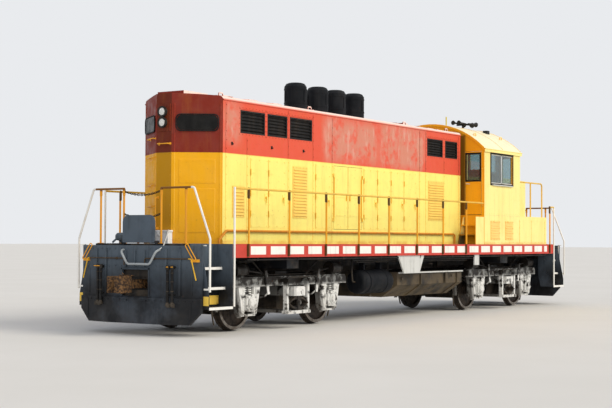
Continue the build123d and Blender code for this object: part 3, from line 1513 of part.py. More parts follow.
def main():
    os.makedirs("parts", exist_ok=True)
    save("underframe", underframe() + both_ends(*drop_step_brackets()))
    save("pilots", *both_ends(pilot()))
    save("corner_steps", *four_corners(corner_step()))
    save("hood_walls", hood_walls())
    save("hood_roof", hood_roof())
    save("hood_panels", *hood_panels())
    save("radiator_shutters", *radiator_shutters())
    save("roof_fans", *[roof_fan(fan_x) for fan_x in fan_places])
    save("exhaust_stacks", *[exhaust_stack(row_offset) for row_offset in stack_offsets])
    save("engine_block", engine_block())
    save("cab_walls", cab_walls())
    save("cab_roof", cab_roof())
    save("cab_floor", cab_floor())
    save("cab_seats", *both_sides(cab_seat()))
    save("control_stand", control_stand())
    save("cab_glass", *[pane(*hole) for hole in cab_windows()])
    save("nose", nose())
    save("battery_boxes", *both_sides(battery_box()))
    save("fuel_tank", fuel_tank())
    save("air_reservoirs", *both_sides(air_reservoir()))
    save("hanger_plates", *both_sides(*hanger_plates()))
    save("side_handrails", *both_sides(*side_handrail()))
    save("handrail_posts", *both_sides(*handrail_posts()))
    save("end_handrails", *four_corners(end_handrail()))
    save("step_rails", *four_corners(*step_rails()))
    save("headlights", *headlights())
    save("number_boards", *number_boards())
    save("horn", horn())
    save("roof_fittings", *roof_fittings())
    save("foot_pipes", *both_sides(foot_pipe()))
    save("end_hoses", *both_ends(*end_hoses()))
    save("uncoupling_levers", *four_corners(uncoupling_lever()))
    for name, end in (("rear", -1), ("front", 1)):
        place = Pos(end * truck_centres / 2, 0, 0)
        save(f"truck_{name}_frame", place * truck_frame())
        save(f"truck_{name}_axle_boxes", *[place * box for box in axle_boxes()])
        save(f"truck_{name}_springs", *[place * spring for spring in truck_springs()])
        save(f"truck_{name}_bolster", *[place * piece for piece in truck_bolster()])
        save(f"truck_{name}_brakes", *[place * piece for piece in truck_brakes()])
        save(f"truck_{name}_motors", *[place * motor for motor in truck_motors()])
        save(f"coupler_{name}", coupler(end))
        save(f"drop_step_{name}", drop_step(end))
        save(f"cab_door_{name}", cab_door(end))
        save(f"cab_door_{name}_pane", cab_door_pane(end))
        for axle in (-1, 1):
            number = {(-1, -1): 1, (-1, 1): 2, (1, -1): 3, (1, 1): 4}[end, axle]
            axle_x = end * truck_centres / 2 + axle * truck_wheelbase / 2
            save(f"wheelset_{number}", Pos(axle_x, 0, axle_z) * wheelset())
    for side_name, side in (("right", -1), ("left", 1)):
        for door_name, pair_end in (("rear", -1), ("front", 1)):
            save(f"engine_door_{side_name}_{door_name}", engine_door(side, pair_end))


main()
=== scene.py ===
from math import cos, pi, radians, sin, sqrt

import bmesh
import bpy
from mathutils import Matrix, Vector


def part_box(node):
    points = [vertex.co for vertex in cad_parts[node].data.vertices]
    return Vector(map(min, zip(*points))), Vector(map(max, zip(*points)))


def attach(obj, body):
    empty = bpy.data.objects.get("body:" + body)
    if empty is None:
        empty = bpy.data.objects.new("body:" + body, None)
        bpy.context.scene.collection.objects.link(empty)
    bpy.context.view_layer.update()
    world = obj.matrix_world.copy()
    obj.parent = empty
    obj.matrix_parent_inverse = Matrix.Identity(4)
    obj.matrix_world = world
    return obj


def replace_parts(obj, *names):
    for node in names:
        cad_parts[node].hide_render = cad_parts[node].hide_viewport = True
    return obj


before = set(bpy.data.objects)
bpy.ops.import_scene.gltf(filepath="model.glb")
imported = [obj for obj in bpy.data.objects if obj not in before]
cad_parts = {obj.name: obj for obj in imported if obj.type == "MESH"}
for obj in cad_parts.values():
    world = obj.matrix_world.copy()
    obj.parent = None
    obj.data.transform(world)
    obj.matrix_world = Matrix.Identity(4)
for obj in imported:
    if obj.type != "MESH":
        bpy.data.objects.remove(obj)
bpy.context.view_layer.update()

# Diesel locomotive, a four-axle hood unit. Metres, +X to the low nose, +Y to the left side, z = 0 at the
# flanges.


def mm(length):
    return length / 1000


def low(node):
    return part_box(node)[0]


def high(node):
    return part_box(node)[1]


# Places read from the frame
deck = low("engine_block").z
sill_half = high("underframe").y
hood_half = high("hood_roof").y
hood_front = high("hood_roof").x
hood_end = low("hood_roof").x
hood_crown = high("hood_roof").z
hood_top = high("hood_walls").z
cab_low, cab_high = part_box("cab_walls")
cab_roof_low, cab_roof_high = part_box("cab_roof")
battery_wall = high("battery_boxes").y
nose_high = high("nose")
rail_top = high("end_handrails").z
rail_y = high("handrail_posts").y - mm(19)
tank_low, tank_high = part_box("fuel_tank")
truck_middles = {name: (low(f"truck_{name}_frame").x + high(f"truck_{name}_frame").x) / 2
                 for name in ("rear", "front")}

# Places that repeat the model's own
hood_corner = -6.626
hood_end_half = 0.178
band_split = 3.281
cab_floor = 2.327
bolt_pitch = mm(125)


# Colours and materials

def linear(code):
    """Six sRGB hex digits as linear red, green, blue and alpha; a node or socket is given back as it is."""
    if not isinstance(code, str):
        return code
    channels = [int(code[place:place + 2], 16) / 255 for place in (0, 2, 4)]
    return tuple(c / 12.92 if c <= 0.04045 else ((c + 0.055) / 1.055) ** 2.4 for c in channels) + (1.0,)


def in_use(sockets, name=None):
    return next(socket for socket in sockets if socket.enabled and name in (None, socket.name))


def add_node(tree, kind, inputs=None, **settings):
    """A node of that kind with its settings; inputs gives each socket a value, a node or a socket to read."""
    node = tree.nodes.new(kind)
    for name, value in settings.items():
        setattr(node, name, value)
    for name, value in (inputs or {}).items():
        socket = in_use(node.inputs, name) if isinstance(name, str) else node.inputs[name]
        source = in_use(value.outputs) if isinstance(value, bpy.types.Node) else value
        if isinstance(source, bpy.types.NodeSocket):
            tree.links.new(source, socket)
        else:
            socket.default_value = source
    return node


class Look:
    """A material in the making. Its masks run from 0 to 1 in the model's own coordinates."""

    def __init__(self, name):
        self.material = bpy.data.materials.new(name)
        self.material.use_nodes = True
        self.tree = self.material.node_tree
        self.tree.nodes.clear()
        self.place = self.add("ShaderNodeTexCoord")

    def add(self, kind, inputs=None, **settings):
        return add_node(self.tree, kind, inputs, **settings)

    def close(self, inputs):
        """The material, with these inputs on its one shader."""
        shader = self.add("ShaderNodeBsdfPrincipled", inputs)
        self.add("ShaderNodeOutputMaterial", {"Surface": shader})
        return self.material

    def patches(self, size_mm, low_at, high_at, stretch=(1, 1, 1), detail=4):
        """Soft patches about size_mm wide, from 0 below low_at to 1 above high_at of the noise."""
        spread = self.add("ShaderNodeMapping", {"Vector": self.place.outputs["Object"], "Scale": stretch})
        noise = self.add("ShaderNodeTexNoise",
                         {"Vector": spread, "Scale": 1000 / size_mm, "Detail": detail, "Roughness": 0.6})
        return self.add("ShaderNodeMapRange", {"Value": noise, "From Min": low_at, "From Max": high_at},
                        interpolation_type="SMOOTHSTEP")

    def along(self, letter, start, end, output="Object", both_ways=False, blend="SMOOTHSTEP"):
        """0 where that letter of the place or normal is start, 1 where it is end; both_ways drops signs."""
        value = self.add("ShaderNodeSeparateXYZ", {"Vector": self.place.outputs[output]}).outputs[letter]
        if both_ways:
            value = self.add("ShaderNodeMath", {0: value}, operation="ABSOLUTE")
        return self.add("ShaderNodeMapRange", {"Value": value, "From Min": start, "From Max": end},
                        interpolation_type=blend)

    def past(self, letter, limit, soft=mm(2), both_ways=False):
        return self.along(letter, limit - soft, limit + soft, both_ways=both_ways, blend="LINEAR")

    def short_of(self, letter, limit, soft=mm(2), both_ways=False):
        beyond = self.past(letter, limit, soft, both_ways)
        return self.add("ShaderNodeMath", {0: 1.0, 1: beyond}, operation="SUBTRACT")

    def lit_faces(self):
        """1 on faces that look to the sides or up, painted as lit, and 0 on the ends, painted as shaded."""
        return self.along("X", 0.75, 0.3, output="Normal", both_ways=True)

    def within(self, x_ends, z_ends, soft=mm(25)):
        """1 within a rectangle on the vehicle's side, 0 outside it, with soft edges."""
        parts = self.add("ShaderNodeSeparateXYZ", {"Vector": self.place.outputs["Object"]})
        masks = []
        for letter, (start, end) in (("X", x_ends), ("Z", z_ends)):
            offset = self.add("ShaderNodeMath", {0: parts.outputs[letter], 1: (start + end) / 2},
                              operation="SUBTRACT")
            away = self.add("ShaderNodeMath", {0: offset}, operation="ABSOLUTE")
            reach = (end - start) / 2
            masks.append(self.add("ShaderNodeMapRange",
                                  {"Value": away, "From Min": reach + soft, "From Max": reach - soft}))
        return self.both(*masks)

    def both(self, first, second):
        return self.add("ShaderNodeMath", {0: first, 1: second}, operation="MULTIPLY")

    def layer(self, under, over, mask, share=1.0):
        """The colour over laid on the colour under where the mask is 1, at that share of its strength."""
        factor = self.both(mask, share)
        return self.add("ShaderNodeMix", {"Factor": factor, "A": linear(under), "B": linear(over)},
                        data_type="RGBA")

    def lit_sides_shaded_ends(self, pale, deep):
        """Pale colour as painted light on faces to the sides or up, deep as painted shade on the ends."""
        return self.add("ShaderNodeMix", {"Factor": self.lit_faces(), "A": linear(deep), "B": linear(pale)},
                        data_type="RGBA")

    def uneven(self, mask, least, most):
        return self.add("ShaderNodeMapRange", {"Value": mask, "To Min": least, "To Max": most})

    def relief(self, grain_mm, grain_depth, wave_mm=420, wave_depth=0.25):
        """A bump of fine grain over the slow waves of sheet metal."""
        spot = self.place.outputs["Object"]
        grain = self.add("ShaderNodeTexNoise", {"Vector": spot, "Scale": 1000 / grain_mm, "Detail": 3.0})
        wave = self.add("ShaderNodeTexNoise", {"Vector": spot, "Scale": 1000 / wave_mm, "Detail": 1.0})
        waves = self.add("ShaderNodeBump", {"Height": wave, "Strength": wave_depth, "Distance": mm(6)})
        return self.add("ShaderNodeBump",
                        {"Height": grain, "Strength": grain_depth, "Distance": mm(1.2), "Normal": waves})


def painted(name, colour, dirt=("4d3a26", 0.3), rust=0.25, dust=None, fade=None, roughness=0.5, grain_mm=9,
            gloss=0.22):
    """Enamel on steel: colour, or what colour(look) gives, then fading, run-down dirt, rust and dust.

    Dirt and fade are a colour and its share; dust adds the heights where it lies thick and where it ends.
    """
    look = Look(name)
    face = colour(look) if callable(colour) else colour
    if fade:
        face = look.layer(face, fade[0], look.patches(700, 0.42, 0.68), fade[1])
    face = look.layer(face, dirt[0], look.patches(90, 0.48, 0.75, stretch=(1, 1, 0.08)), dirt[1])
    face = look.layer(face, dirt[0], look.patches(260, 0.5, 0.72, detail=8), dirt[1] * 0.6)
    if dust:
        shade, share, thick, none = dust
        settled = look.along("Z", none, thick)
        face = look.layer(face, shade, look.both(settled, look.patches(350, 0.3, 0.6)), share)
    face = look.layer(face, "6b3a1f", look.patches(38, 0.66, 0.7, detail=6), rust)
    rough = look.uneven(look.patches(180, 0.3, 0.7), roughness - 0.08, roughness + 0.18)
    return look.close({"Base Color": face, "Roughness": rough, "IOR": 1.5, "Specular IOR Level": gloss,
                       "Normal": look.relief(grain_mm, 0.12)})


def bare_metal(name, colour, other, roughness, metallic, grain_mm, patch_mm=120, bump=0.4):
    """Metal with two tones in patches and a grainy surface."""
    look = Look(name)
    face = look.layer(colour, other, look.patches(patch_mm, 0.4, 0.65, detail=8))
    rough = look.uneven(look.patches(patch_mm / 2, 0.3, 0.7), roughness - 0.1, roughness + 0.15)
    return look.close({"Base Color": face, "Metallic": metallic, "Roughness": rough,
                       "Normal": look.relief(grain_mm, bump, wave_mm=60, wave_depth=0.2)})


def clear_glass(name, tint, roughness=0.02, clear=0.92):
    """Glass with a film of dust on it."""
    look = Look(name)
    rough = look.uneven(look.patches(140, 0.35, 0.75), roughness, roughness + 0.1)
    return look.close({"Base Color": linear(tint), "Roughness": rough, "IOR": 1.52,
                       "Transmission Weight": clear})


# Areas of the sides, as both ends in x and in z: where the hood's red band has faded, and the louvred
# plates and battery doors, over which the yellow turns a darker orange
faded_areas = (((-3.25, -1.15), (3.35, 4.2)), ((-1.0, 1.0), (3.3, 4.25)), ((-6.55, -6.1), (3.5, 4.2)))
louvre_areas = (((-6.33, -5.96), (2.107, 2.687)), ((-4.37, -3.87), (2.127, 3.147)),
                ((1.18, 1.96), (2.167, 3.087)))
battery_doors = (((3.3, 3.8), (1.727, 2.187)), ((4.13, 4.56), (1.727, 2.187)))
# Paints as a pale colour for the sides, painted light, and a deep one for the ends, painted shade
hood_yellows = ("fdef82", "f3b00c")
cab_yellows = ("fbec98", "fbac18")
hood_reds = ("df5941", "7d2415")
# The white blocks along the side sills
block_row = (-6.55, 6.65)
block_heights = (1.427, 1.577)
block_pitch, block_length = 0.62, 0.47


def yellow_face(look, yellows=hood_yellows):
    """Painted light on the long sides, painted shade on the ends, darker orange on louvres and doors."""
    # The pale sides are painted light and the deep ends are painted shade
    face = look.lit_sides_shaded_ends(*yellows)
    # A darker orange over the louvred plates and battery doors
    for area in louvre_areas + battery_doors:
        face = look.layer(face, "efa845", look.within(*area), 0.45)
    return look.layer(face, "eeb650", look.patches(420, 0.46, 0.7, stretch=(1, 1, 0.35), detail=6), 0.16)


def cab_face(look):
    """The cab's yellow, cream on its roof as painted light, painted shade where its rear wall meets the hood.
    """
    face = yellow_face(look, cab_yellows)
    high_up = look.along("Z", cab_high.z - 0.75, cab_high.z - 0.7)
    lit_upward_faces = look.along("Z", 0.25, 0.6, output="Normal")
    # Cream on the roof's upward faces high up: painted light
    face = look.layer(face, "faf1d2", look.both(lit_upward_faces, high_up), 0.85)
    at_rear = look.short_of("X", cab_low.x + mm(6))
    by_hood = look.short_of("Y", hood_half + mm(60), soft=mm(30), both_ways=True)
    under_crown = look.short_of("Z", hood_top + mm(20), soft=mm(30))
    # Dark brown on the rear wall next to the hood, below its top: painted shade
    return look.layer(face, "33230e", look.both(look.both(at_rear, by_hood), under_crown), 0.8)


def cab_floor_face(look):
    """Yellow outside, painted shade low on the steps, and grey-green where the crew stand."""
    painted_shade_low = look.along("Z", deck + 0.34, deck + 0.16)
    inside = look.short_of("Y", 1.42, both_ways=True)
    # Dark low down inside the sills, on the steps: painted shade
    face = look.layer(yellow_face(look, cab_yellows), "2a2018", look.both(painted_shade_low, inside), 0.85)
    return look.layer(face, "5c6b60", look.past("Z", cab_low.z - mm(2), soft=mm(1)))


def hood_face(look):
    """Red over yellow, split at one height, the red faded pink in patches, with painted light and shade."""
    # The red too is pale on the sides as painted light and deep on the ends as painted shade
    red = look.lit_sides_shaded_ends(*hood_reds)
    worn = look.layer(red, "cf907c", look.patches(260, 0.3, 0.56, detail=6), 0.8)
    worn = look.layer(worn, "dcae9e", look.patches(120, 0.5, 0.68, stretch=(1, 1, 0.3), detail=6), 0.5)
    for area in faded_areas:
        red = look.layer(red, worn, look.both(look.within(*area, soft=mm(140)), look.lit_faces()))
    split = look.along("Z", band_split - mm(3), band_split + mm(3))
    face = look.layer(yellow_face(look), red, split)
    # Pale pink along the roof edge on the lit faces: faded paint with a painted highlight
    edge = look.along("Z", hood_top - mm(10), hood_top + mm(40))
    face = look.layer(face, "fbe6dc", look.both(edge, look.lit_faces()), 0.9)
    # Dark over the middle of the long hood's end: painted shade
    centre = look.short_of("Y", hood_end_half, soft=mm(4), both_ways=True)
    at_end = look.short_of("X", hood_end + mm(30), soft=mm(20))
    return look.layer(face, "3b2608", look.both(centre, at_end), 0.42)


def roof_fitting_face(look):
    """The hood's own paint, an olive-yellow aerial and a dark box on the cab's roof."""
    over_cab = look.past("X", cab_low.x)
    face = look.layer(hood_face(look), "d8c04e", over_cab)
    return look.layer(face, "222326", look.both(over_cab, look.short_of("Y", -0.6)))


def sill_face(look):
    """Red side sills with a row of white blocks; the rest of the underframe and the deck are dark."""
    parts = look.add("ShaderNodeSeparateXYZ", {"Vector": look.place.outputs["Object"]})
    out_by = look.add("ShaderNodeMath", {0: parts.outputs["Y"]}, operation="ABSOLUTE")
    on_side = look.add("ShaderNodeMath", {0: out_by, 1: sill_half - mm(3)}, operation="GREATER_THAN")
    start = look.add("ShaderNodeMath", {0: parts.outputs["X"], 1: block_row[0]}, operation="SUBTRACT")
    cell = look.add("ShaderNodeMath", {0: start, 1: block_pitch}, operation="FLOORED_MODULO")
    in_cell = look.add("ShaderNodeMath", {0: cell, 1: block_length}, operation="LESS_THAN")
    white = look.both(in_cell, look.within(block_row, block_heights, soft=mm(2)))
    side = look.layer("c8463a", "f2f0ea", white)
    dark = look.layer("23262b", "6d6255", look.patches(300, 0.45, 0.7), 0.5)
    return look.layer(dark, side, on_side)


def post_face(look):
    """Orange-yellow posts whose top fittings are painted dark, and dark feet on the sill."""
    face = look.layer("eda72c", "33281f", look.along("Z", rail_top - mm(200), rail_top - mm(190)), 0.92)
    return look.layer(face, "33221b", look.along("Z", deck + mm(10), deck), 0.92)


def end_rail_face(look):
    return look.layer("e9a12b", "5b3a22", look.along("Z", rail_top - mm(60), rail_top - mm(50)), 0.85)


def lever_face(look):
    """Dull brown along the pilot's middle, yellow at the grips."""
    return look.layer("4b3c2c", "e8b836", look.past("Y", 1.16, soft=mm(10), both_ways=True))


def hose_face(look):
    """Black air hoses, and the pale sheath of the jumper cable between them."""
    return look.layer("a9b0b4", "1b1b1c", look.past("Y", 0.62, both_ways=True))


def slate_face(look):
    """Slate blue-grey, lighter on the bumper beam and nearly black on the plough."""
    return look.layer("1c1e22", "505b66", look.along("Z", 0.7, 1.45))


def silver_face(look):
    """Bright low down, darker above, and painted shade on the inner parts and under the deck."""
    upper = look.layer("1d1a18", "8f9190", look.patches(170, 0.47, 0.62, detail=6), 0.75)
    lower = look.layer("1d1a18", "e9eae8", look.patches(150, 0.36, 0.5, detail=5), 0.95)
    face = look.layer(upper, lower, look.along("Z", 0.88, 0.78))
    # Dark on the inner parts, away from the outer faces: painted shade
    face = look.layer(face, "161413", look.short_of("Y", 1.1, soft=mm(20), both_ways=True), 0.8)
    # Dark above the side frames, under the deck: painted shade
    return look.layer(face, "1f1b18", look.along("Z", 1.0, 1.06), 0.85)


paint = {
    # Alkyd enamel in two colours, chalked in patches by years of sun
    # Pale on the long sides as painted light and deep on the ends as painted shade
    "hood": painted("chalked two-tone enamel", hood_face, ("b9762f", 0.13), 0.4,
                    dust=("e09a3a", 0.6, deck, deck + 0.12)),
    # The same enamel in yellow alone, on the cab, the low nose and the battery boxes
    # Pale on the sides as painted light, deep on the ends as painted shade
    "cab": painted("chalked yellow enamel", cab_face, ("b9762f", 0.12), 0.35,
                   dust=("e09a3a", 0.5, deck, deck + 0.1)),
    # The same enamel on the cab's floor and its steps, with painted shade low on the steps
    "cab floor": painted("cab floor enamel", cab_floor_face, ("7a5426", 0.2), roughness=0.55),
    # The hood's enamel on its roof fittings, with the aerial and its box in their own colours
    "roof fitting": painted("roof fitting enamel", roof_fitting_face, ("6a4a2a", 0.2)),
    # Orange-brown enamel of the pipes along the hood's foot, darkened by hands and drips
    "foot pipe": painted("orange-brown pipe enamel", "d98d2c", ("7c4a1c", 0.4), roughness=0.45),
    # A paler yellow on the long handrails, rubbed thin by gloves
    "pale rail": painted("rubbed handrail enamel", "e8bd52", ("8a6a2c", 0.35), roughness=0.4),
    # Fresh yellow enamel on the plates behind the bottom treads
    "kick plate": painted("yellow kick plate enamel", "f2cc58", ("c07a26", 0.35), roughness=0.45),
    # Enamel rubbed off the uncoupling levers but for their grips
    "lever": painted("worn lever enamel", lever_face, ("3a2a1c", 0.35)),
    # Orange-yellow enamel on grab irons and levers, less faded because it is touched up more often
    "rail": painted("orange-yellow rail enamel", "eea92f", ("6a3d1c", 0.3), roughness=0.42),
    # The same enamel on the posts and the end rails, with their fittings dark
    "post": painted("orange-yellow post enamel with dark ends", post_face, ("6a3d1c", 0.3), roughness=0.42),
    "end rail": painted("orange-yellow end rail enamel", end_rail_face, ("6a3d1c", 0.3), roughness=0.42),
    # Red, white and black enamel on the underframe, scuffed by boots on its dark deck
    "sill": painted("underframe enamel with white marker blocks", sill_face, ("3b2a22", 0.22),
                    roughness=0.48),
    # Slate blue-grey enamel on the pilots, dusty with ballast dust towards the rail
    "slate": painted("slate enamel", slate_face, ("1c1d20", 0.4), dust=("6d655b", 0.12, 0.1, 0.9),
                     fade=("5b6878", 0.35), roughness=0.55),
    # White alkyd enamel on the steps and their rails, which makes them stand out at night
    "white": painted("white step enamel", "f0efea", ("8a7a66", 0.25), 0.5, roughness=0.45),
    # Aluminium-pigmented paint: a cool silver, spoilt by brake dust and oil
    # Its inner parts and the parts under the deck carry painted shade
    "silver": painted("aluminium-pigmented paint", silver_face, ("26211c", 0.5), 0.5,
                      dust=("8d7c66", 0.2, 0.1, 0.7), roughness=0.42),
    # The same paint on small fittings away from the wheels, where it stays clean
    "clean silver": painted("clean aluminium paint", "cfd1cf", ("4a443c", 0.35), roughness=0.4),
    # Cool white enamel of the locker on the long hood's end, kept clean by its overhung lid
    "locker": painted("clean locker enamel", "f6f9fb", ("a9adb0", 0.15), 0.1),
    # Matt black heat-resistant paint, with a thin brown bloom of rust and soot
    "stack": painted("heat-resistant black paint", "101318", ("2b2a2c", 0.4), 0.2, fade=("24262b", 0.35),
                     roughness=0.55, gloss=0.12),
    # Black paint on frames and pipes below the deck, greyed with brake dust
    "black": painted("black frame paint", "1b1b1c", ("453a2f", 0.5), dust=("75695a", 0.4, 0.2, 1.6),
                     roughness=0.6),
    # Black tank paint under a coat of grey-brown road dust and spilt fuel
    "tank": painted("dust-coated tank paint", "2e2b28", ("151312", 0.4), dust=("77684f", 0.75, 0.3, 1.3),
                    fade=("5a5044", 0.5), roughness=0.62),
    # Grey-green enamel on the control stand, calm to the crew's eyes, and plain grey on the engine
    "interior": painted("grey-green cab enamel", "5c6b60", ("2a2d28", 0.3)),
    "engine": painted("grey engine enamel", "4b5054", ("1a1715", 0.6)),
    # Bright red on the driver's knobs
    "red spot": painted("red signal enamel", "b02018", ("3a1a14", 0.3), roughness=0.4),
    # Rolled wheel steel, brown with brake dust and dark with oil
    "wheel": bare_metal("brake-dusted wheel steel", "3c322a", "241f1c", 0.55, 0.6, 6),
    # Wheel treads polished by the rail
    "tread": bare_metal("polished tread steel", "8b8680", "6a6058", 0.25, 1.0, 4, bump=0.1),
    # Cast steel that was never painted: dark brown with rust in a grainy skin
    "rust": bare_metal("rusted cast steel", "2a1c13", "7d5c38", 0.75, 0.3, 3, patch_mm=40, bump=0.7),
    # Bright metal behind the lamps' lenses, and on the gauges' rims
    "chrome": bare_metal("polished reflector metal", "e8e8e6", "cfd2d4", 0.12, 1.0, 8, bump=0.02),
    # Extruded rubber, matt with a grey bloom
    "rubber": painted("weathered rubber", "17171a", ("3f3a34", 0.3), 0, roughness=0.7, grain_mm=4),
    "hose": painted("hose rubber and cable sheath", hose_face, ("3a3632", 0.3), 0, roughness=0.65,
                    grain_mm=4),
    # Off-white plastic sheath of the cable from the locker
    "pale hose": painted("pale cable sheath", "d4d8d8", ("6c6762", 0.3), 0, roughness=0.6, grain_mm=4),
    # Seat covers with a soft sheen
    "vinyl": painted("black seat vinyl", "1c1b1d", ("393633", 0.3), 0, roughness=0.45, grain_mm=3),
    # Cab windows, dark and glossy from outside, and the lamps' moulded lenses
    "window": clear_glass("laminated safety glass", "b2cacd"),
    "lens": clear_glass("pressed lamp glass", "f8f9f6", roughness=0.05, clear=0.3),
    # Smooth blank panes of the number boards
    "board": painted("number board glass, black behind", "08090b", ("1b1d21", 0.3), 0, roughness=0.25,
                     gloss=0.1),
}

# The finish of each CAD node that stays
finish_of = {
    "hood": "hood_walls hood_roof roof_fans hood_panels engine_door_left_front engine_door_left_rear"
            " engine_door_right_front engine_door_right_rear",
    "cab": "cab_walls cab_roof nose battery_boxes cab_door_rear cab_door_front",
    "pale rail": "side_handrails",
    "lever": "uncoupling_levers",
    "foot pipe": "foot_pipes",
    "roof fitting": "roof_fittings",
    "cab floor": "cab_floor",
    "hose": "end_hoses",
    "post": "handrail_posts",
    "end rail": "end_handrails",
    "sill": "underframe",
    "slate": "pilots corner_steps drop_step_rear drop_step_front",
    "white": "step_rails",
    "clean silver": "hanger_plates",
    "silver": "truck_rear_frame truck_rear_axle_boxes truck_rear_springs truck_rear_bolster truck_rear_brakes"
              " truck_front_frame truck_front_axle_boxes truck_front_springs truck_front_bolster"
              " truck_front_brakes",
    "stack": "exhaust_stacks air_reservoirs",
    "black": "radiator_shutters horn truck_rear_motors truck_front_motors",
    "tank": "fuel_tank",
    "interior": "control_stand",
    "engine": "engine_block",
    "wheel": "wheelset_1 wheelset_2 wheelset_3 wheelset_4",
    "rust": "coupler_rear coupler_front",
    "vinyl": "cab_seats",
    "window": "cab_glass cab_door_rear_pane cab_door_front_pane",
    "chrome": "headlights",
    "board": "number_boards",
}
for finish, nodes in finish_of.items():
    for node in nodes.split():
        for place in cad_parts[node].material_slots:
            place.material = paint[finish]


# Drawing in mirror images: of the two ends, of the two sides, or both

ends, sides = 0, 1
image = [1, 1]
end_names = {-1: "rear", 1: "front"}
side_names = {-1: "right", 1: "left"}
ahead, back, out, up = (1, 0, 0), (-1, 0, 0), (0, 1, 0), (0, 0, 1)


def each(axis):
    """Gives -1 and 1 in turn, and has all that is drawn meanwhile mirrored so along ends or sides."""
    for way in (-1, 1):
        image[axis] = way
        yield way
    image[axis] = 1


def at(place):
    """The place or way in the mirror image being drawn."""
    x, y, z = place
    return Vector((x * image[ends], y * image[sides], z))


def span(middle, reach_mm):
    return (middle - mm(reach_mm), middle + mm(reach_mm))


def inset(pair, by):
    return (pair[0] + by, pair[1] - by)


def run(x, y, z):
    """Both ends of a straight line, of whose three coordinates at least one is a pair."""
    return tuple(tuple(v[end] if isinstance(v, tuple) else v for v in (x, y, z)) for end in (0, 1))


# Shapes in mesh code

box_faces = [(0, 1, 3, 2), (4, 6, 7, 5), (0, 4, 5, 1), (2, 3, 7, 6), (0, 2, 6, 4), (1, 5, 7, 3)]


def across(axis):
    """The axis as a unit vector, and two unit vectors square to it."""
    axis = Vector(axis).normalized()
    first = axis.orthogonal().normalized()
    return axis, first, axis.cross(first)


def circle(centre, first, second, radius, count):
    turns = [2 * pi * i / count for i in range(count)]
    return [centre + first * (radius * cos(turn)) + second * (radius * sin(turn)) for turn in turns]


def rounded(route, bend_mm, steps=6):
    """The route's points with each inner corner replaced by an arc of that radius."""
    route = [Vector(point) for point in route]
    if not bend_mm:
        return route
    path = [route[0]]
    for before, corner, after in zip(route, route[1:], route[2:]):
        to_before, to_after = (before - corner).normalized(), (after - corner).normalized()
        half_turn = to_before.angle(to_after) / 2
        reach = min(mm(bend_mm) * cos(half_turn) / max(sin(half_turn), 1e-3),
                    (before - corner).length * 0.49, (after - corner).length * 0.49)
        start, end = corner + to_before * reach, corner + to_after * reach
        for step in range(steps + 1):
            t = step / steps
            path.append(start * (1 - t) ** 2 + corner * (2 * t * (1 - t)) + end * t ** 2)
    return path + [route[-1]]


